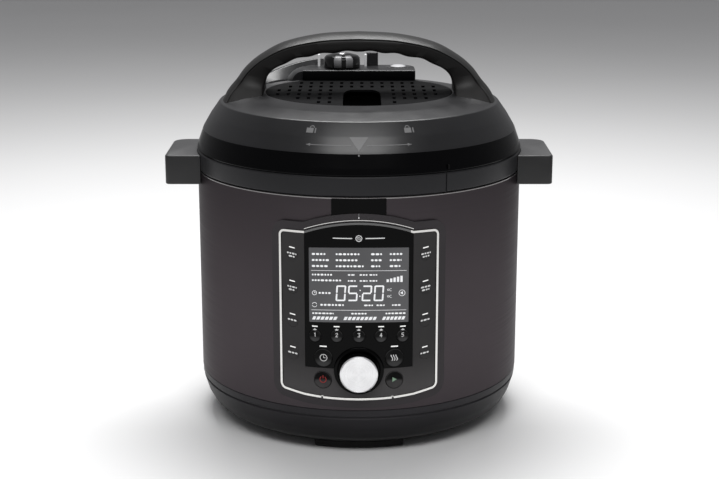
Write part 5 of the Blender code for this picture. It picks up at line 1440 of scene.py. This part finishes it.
def steam_housing():
    half, front, back, corner, wall = 0.050, 0.062, 0.1005, 0.014, 0.0024

    def outline(shrink):
        h, f, b, r = half - shrink, front + shrink, back - shrink, corner - shrink
        return [(-h, f), (h, f)] + arc(h - r, b - r, r, 0, 90, 14) + arc(-h + r, b - r, r, 90, 180, 14)

    body = prism("valve_housing", outline(0), LID_FLOOR - 0.004, BLOCK_TOP, LID_PLASTIC)
    soften(body, 0.0011, 4, 40)
    cut(body, prism("housing_hollow", outline(wall), LID_FLOOR - 0.01, BLOCK_TOP - 0.0022))
    inner, edge, deep = COVER_RADIUS - 0.0046, COVER_RADIUS - 0.0004, COLLAR_HIGH + 0.009
    below = [(0, deep), (0, LID_FLOOR + GAP), (inner, LID_FLOOR + GAP), (inner, COVER_LEDGE + GAP),
             (edge, COVER_LEDGE + GAP)]
    slope = [(r, z) for r, z in lid_outside(GAP) if z > deep + 0.001 and r > COVER_RADIUS + 0.0012]
    below += [(edge, LID_TOP + GAP)] + slope[::-1] + [(SHELL - 0.0002, deep)]
    cut(body, lathe("housing_seat", below, None, MEDIUM))
    cut(body, upright_hole("pipe_way", VALVE_X, VALVE_Y, 0.0045, BLOCK_TOP + 0.01),
        upright_hole("float_way", FLOAT_X, FLOAT_Y, 0.0025, BLOCK_TOP + 0.01))
    # front faces of the housing take the darker skirt plastic: painted shade
    paint(body, SKIRT_SHADE_PLASTIC, lambda face: face.normal.y < -0.8 and face.center.y < front + 0.002)
    place(body, "lid", "black_plastic", "steam_housing")

    for index, x in enumerate((VALVE_X - 0.0208, VALVE_X + 0.0212)):
        section = [(-0.0011, BLOCK_TOP - 0.001), (0.0011, BLOCK_TOP - 0.001), (0.0011, BLOCK_TOP + 0.0106),
                   (-0.0011, BLOCK_TOP + 0.0106)]
        rim = rounded(section, [0, 0, 0.0009, 0.0009])
        # near-white guard posts: painted highlight
        post = prism(f"valve_guard_{index}", rim, VALVE_Y + 0.006, VALVE_Y + 0.0125, POST_HIGHLIGHT_WHITE)
        place(soften(stand(post, x), 0.0003, 2), "lid", "silver")
    upright = block("rear_upright", (VALVE_X + 0.0220, back - 0.0055, BLOCK_TOP - 0.001),
                    (VALVE_X + 0.0325, back - 0.0012, BLOCK_TOP + 0.0118), LID_PLASTIC)
    place(soften(upright, 0.0009, 3), "lid", "black_plastic")
    plate = rounded([(FLOAT_X - 0.0105, FLOAT_Y - 0.0085), (FLOAT_X + 0.0105, FLOAT_Y - 0.0085),
                     (FLOAT_X + 0.0105, FLOAT_Y + 0.0085), (FLOAT_X - 0.0105, FLOAT_Y + 0.0085)], 0.0045, 8)
    bed = soften(prism("float_bed", plate, BLOCK_TOP - 0.0006, BLOCK_TOP + 0.00022, GLOSS_BLACK), 0.0002, 2)
    cut(bed, upright_hole("float_way", FLOAT_X, FLOAT_Y, 0.0025, BLOCK_TOP + 0.01))
    place(bed, "lid", "gloss_black")


def valve_lathe(name, points, radii, surface, x, y, sides=COARSE):
    return lathe(name, rounded(points, radii), surface, sides, (x, y))


def steam_pipe():
    first, last = low("steam_pipe"), high("steam_pipe")
    nut, nut_low = (last.x - first.x) / 2, first.z + 0.004
    points = [(0.0018, last.z), (0.004, last.z), (0.004, nut_low + 0.003), (nut, nut_low + 0.003),
              (nut, nut_low),
              (0.004, nut_low), (0.004, first.z), (0.0018, first.z)]
    pipe = valve_lathe("vent_pipe", points, [0.0003, 0.0008, 0, 0.0005, 0.0005, 0, 0.0004, 0], BRIGHT_STEEL,
                       VALVE_X, VALVE_Y, 72)
    place(pipe, "lid", "bright_steel", "steam_pipe")


def anti_block_shield():
    top, bottom, outer = high("anti_block_shield").z, low("anti_block_shield").z, 0.0095
    points = [(outer, top), (outer, bottom), (0, bottom), (0, bottom + 0.0015),
              (outer - 0.0013, bottom + 0.0015), (outer - 0.0013, top)]
    cup = valve_lathe("pipe_shield", points, [0.0004, 0.0015, 0, 0, 0.0008, 0.0004], SPUN_STEEL, VALVE_X,
                      VALVE_Y, 72)
    slots = []
    for turn in range(6):
        slot = block("slot", (-0.0006, 0.006, bottom + 0.003), (0.0006, 0.012, top - 0.003))
        slot.data.transform(Matrix.Translation((VALVE_X, VALVE_Y,
                                                0)) @ Matrix.Rotation(math.radians(60 * turn), 4, "Z"))
        slots.append(slot)
    place(cut(cup, *slots), "lid", "bright_steel", "anti_block_shield")


def steam_release_valve():
    bottom, top = low("steam_release_valve").z, high("steam_release_valve").z
    radius, bore, seat = 0.0165, 0.0044, high("steam_pipe").z + GAP
    points = [(0, top), (radius * 0.45, top - 0.0003), (radius - 0.0022, top - 0.0020),
              (radius - 0.0004, top - 0.0042),
              (radius, bottom + 0.0008), (radius - 0.0006, bottom), (bore, bottom), (bore, seat), (0, seat)]
    radii = [0, 0.004, 0.003, 0.0015, 0.0006, 0.0003, 0.0003, 0, 0]
    knob = valve_lathe("valve_weight", points, radii, GLOSS_BLACK, VALVE_X, VALVE_Y, MEDIUM)
    place(knob, "steam_valve", "gloss_black", "steam_release_valve")
    for index, angle in enumerate((-13, 25)):
        strip = [(radius + 0.00006, bottom + 0.0012), (radius + 0.00006, top - 0.0046),
                 (radius - 0.0009, top - 0.0032), (radius - 0.0020, top - 0.0021),
                 (radius - 0.0045, top - 0.0011)]
        turns = [math.radians(angle + 3 * step) for step in range(-4, 5)]
        builder = bmesh.new()
        rows = [[builder.verts.new((VALVE_X + r * math.sin(a), VALVE_Y - r * math.cos(a), z))
                 for a in turns]
                for r, z in strip]
        for first, second in zip(rows, rows[1:]):
            for a, b, c, d in zip(first, first[1:], second[1:], second):
                builder.faces.new((a, b, c, d))
        made = finish_mesh(f"valve_stripe_{index}", builder, STRIPE_GREY)
        thick = made.modifiers.new("thickness", "SOLIDIFY")
        thick.thickness, thick.offset = 0.00012, 0
        place(bake(made), "steam_valve", "silver")
    cap = [(0, top + 0.0004), (0.0036, top + 0.0002), (0.0042, top - 0.0006), (0, top - 0.0006)]
    place(valve_lathe("valve_cap", cap, [0, 0.0008, 0, 0], CHROME, VALVE_X, VALVE_Y), "steam_valve",
          "silver")


def float_valve():
    bottom, foot = BLOCK_TOP + GAP, low("float_valve").z
    radius, stem = (high("float_valve").x - low("float_valve").x) / 2, 0.002
    foot_top = low("float_valve_seal").z - GAP
    points = [(0, bottom + 0.0018), (radius * 0.62, bottom + 0.0015), (radius, bottom + 0.0006),
              (radius, bottom), (stem, bottom),
              (stem, foot_top), (0.0036, foot_top), (0.0036, foot), (0, foot)]
    radii = [0, 0.003, 0.0003, 0, 0, 0, 0.0003, 0.0006, 0]
    pin = valve_lathe("float_pin", points, radii, FLOAT_GREY, FLOAT_X, FLOAT_Y, 72)
    place(pin, "float", "silver", "float_valve")


def float_valve_seal():
    foot, top, bore = low("float_valve_seal").z, high("float_valve_seal").z, 0.0023
    points = [(bore, top), (0.0045, top), (0.0055, foot + 0.002), (0.0055, foot), (bore, foot)]
    seal = valve_lathe("float_gasket", points, [0.0004, 0.001, 0.0006, 0.0003, 0], SILICONE, FLOAT_X,
                       FLOAT_Y)
    place(seal, "float", "silicone", "float_valve_seal")


# ---------------------------------------------------------------- lid: pressure plate


def lid_plate():
    top, wall, rim, bottom = high("lid_plate").z, 0.0012, 0.228, low("lid_plate").z
    edge, bottom = 0.1153, max(bottom, 0.2195)
    shoulder, foot = edge - 0.0143, edge - 0.0091
    points = [(0, top), (shoulder, top), (foot, rim), (edge, rim), (edge, bottom), (edge - wall, bottom),
              (edge - wall, rim - wall),
              (foot - wall * 0.8, rim - wall), (shoulder - wall * 0.8, top - wall), (0, top - wall)]
    radii = [0, 0.004, 0.002, 0.0014, 0.0003, 0.0003, 0.0004, 0.002, 0.004, 0]
    plate = lathe("pressure_plate", rounded(points, radii, 6), SPUN_STEEL)
    lug_top = 0.2218
    join(plate, *[soften(prism(f"lid_lug_{angle}", sector(edge - 0.0006, 0.1198, angle, 11, 10),
                               lug_top - 0.0018, lug_top), 0.0003, 2)
                  for angle in LUG_ANGLES])
    cut(plate, upright_hole("pipe_way", VALVE_X, VALVE_Y, 0.0043, BLOCK_TOP),
        upright_hole("float_way", FLOAT_X, FLOAT_Y, 0.0026, BLOCK_TOP))
    place(plate, "lid", "bright_steel", "lid_plate")


def sealing_ring():
    outer, top, bottom = high("sealing_ring").x, high("sealing_ring").z, low("sealing_ring").z
    inner, lip = outer - 0.0079, 0.0035
    points = [(inner, bottom + 0.002), (inner + 0.002, bottom), (outer, bottom), (outer, bottom + 0.002),
              (outer - lip, bottom + 0.0035),
              (outer - lip, top - 0.0045), (outer, top - 0.0035), (outer, top), (inner, top)]
    radii = [0.0006, 0.0006, 0.0005, 0.0004, 0.001, 0.001, 0.0004, 0.0005, 0.0006]
    place(lathe("lid_gasket", rounded(points, radii), SILICONE), "seal", "silicone", "sealing_ring")


def sealing_ring_rack():
    bottom, top = low("sealing_ring_rack").z, high("sealing_ring_rack").z
    outer = high("sealing_ring_rack").x
    hoop = [(outer, top), (outer, bottom), (outer - 0.0028, bottom), (outer - 0.0028, top)]
    place(lathe("gasket_hoop", rounded(hoop, 0.0008), BRIGHT_STEEL), "seal", "bright_steel",
          "sealing_ring_rack")


def locking_pin():
    bottom, top, tip = low("locking_pin").z, high("locking_pin").z, 0.1225
    pin = block("lock_pin", (-0.003, -tip, bottom), (0.003, -tip + 0.014, top), BRIGHT_STEEL)
    pin.data.transform(Matrix.Rotation(math.radians(PIN_ANGLE), 4, "Z"))
    place(soften(pin, 0.0005, 3), "lid_pin", "bright_steel", "locking_pin")


# ---------------------------------------------------------------- floor, light and camera


def floor():
    made, tree, shader = nodes_of("floor")
    cloud = noise(tree, 1.2, detail=3)
    tree.links.new(tint(tree, spread(tree, cloud, 0, 1), (0.76, 0.76, 0.76), (0.79, 0.79, 0.79)),
                   shader.inputs["Base Color"])
    shader.inputs["Roughness"].default_value = 0.55
    shader.inputs["Specular IOR Level"].default_value = 0.2
    builder = bmesh.new()
    reach, clearance = 6.0, 0.0006
    bmesh.ops.create_grid(builder, x_segments=2, y_segments=2, size=reach)
    ground = finish_mesh("floor", builder, made)
    ground.location = (0, 0, -clearance)


def softbox(name, place_at, aim, width, height, power):
    data = bpy.data.lights.new(name, "AREA")
    data.shape, data.size, data.size_y, data.energy = "RECTANGLE", width, height, power
    lamp = bpy.data.objects.new(name, data)
    bpy.context.scene.collection.objects.link(lamp)
    lamp.location = place_at
    lamp.rotation_euler = (Vector(aim) - Vector(place_at)).to_track_quat("-Z", "Y").to_euler()


def lighting():
    """A dim even surround, with one soft lamp above and behind and one high in front."""
    world = bpy.data.worlds.new("studio")
    bpy.context.scene.world = world
    world.use_nodes = True
    sky = world.node_tree.nodes["Background"]
    sky.inputs["Color"].default_value = (0.90, 0.90, 0.92, 1)
    sky.inputs["Strength"].default_value = 0.26
    watts = 34
    softbox("overhead", (0, 0.55, 1.6), (0, 0, 0.25), 1.1, 0.8, watts)
    softbox("front", (0, -1.7, 2.1), (0, 0, 0.15), 1.8, 0.9, watts)


CAMERA_ASIDE, CAMERA_AWAY, CAMERA_HEIGHT, CAMERA_TILT = 0.0005, 1.2786, 0.4716, 14.257  # metres, degrees
FOCAL_LENGTH, SENSOR_WIDTH = 76.1, 36.0  # millimetres


def camera():
    """The photograph's viewpoint: straight ahead, a little above the lid, looking down."""
    data = bpy.data.cameras.new("camera")
    data.lens, data.sensor_width = FOCAL_LENGTH, SENSOR_WIDTH
    data.clip_start, data.clip_end = 0.05, 40.0
    made = bpy.data.objects.new("camera", data)
    bpy.context.scene.collection.objects.link(made)
    made.location = (CAMERA_ASIDE, AXIS_Y - CAMERA_AWAY, CAMERA_HEIGHT)
    made.rotation_euler = (math.radians(90 - CAMERA_TILT), 0, 0)
    bpy.context.scene.camera = made


BASE_PIECES = (feet, base_ring, bottom_cover, outer_shell, upper_collar, side_handles, condensation_cup,
               power_inlet, inner_housing, heating_plate, temperature_sensor, inner_pot)
PANEL_PIECES = (control_panel, keys, dial, electronics, display, panel_marks)
LID_PIECES = (lid_shell, handle_arch, steam_shroud, valve_shoulder, lid_marks, lid_nub, diffuser_cover,
              release_button, steam_housing, steam_pipe, anti_block_shield, steam_release_valve,
              float_valve, float_valve_seal, lid_plate, sealing_ring, sealing_ring_rack, locking_pin)
STUDIO = (floor, lighting, camera)
for make in BASE_PIECES + PANEL_PIECES + LID_PIECES + STUDIO:
    make()
bpy.context.scene.view_settings.view_transform = "Standard"
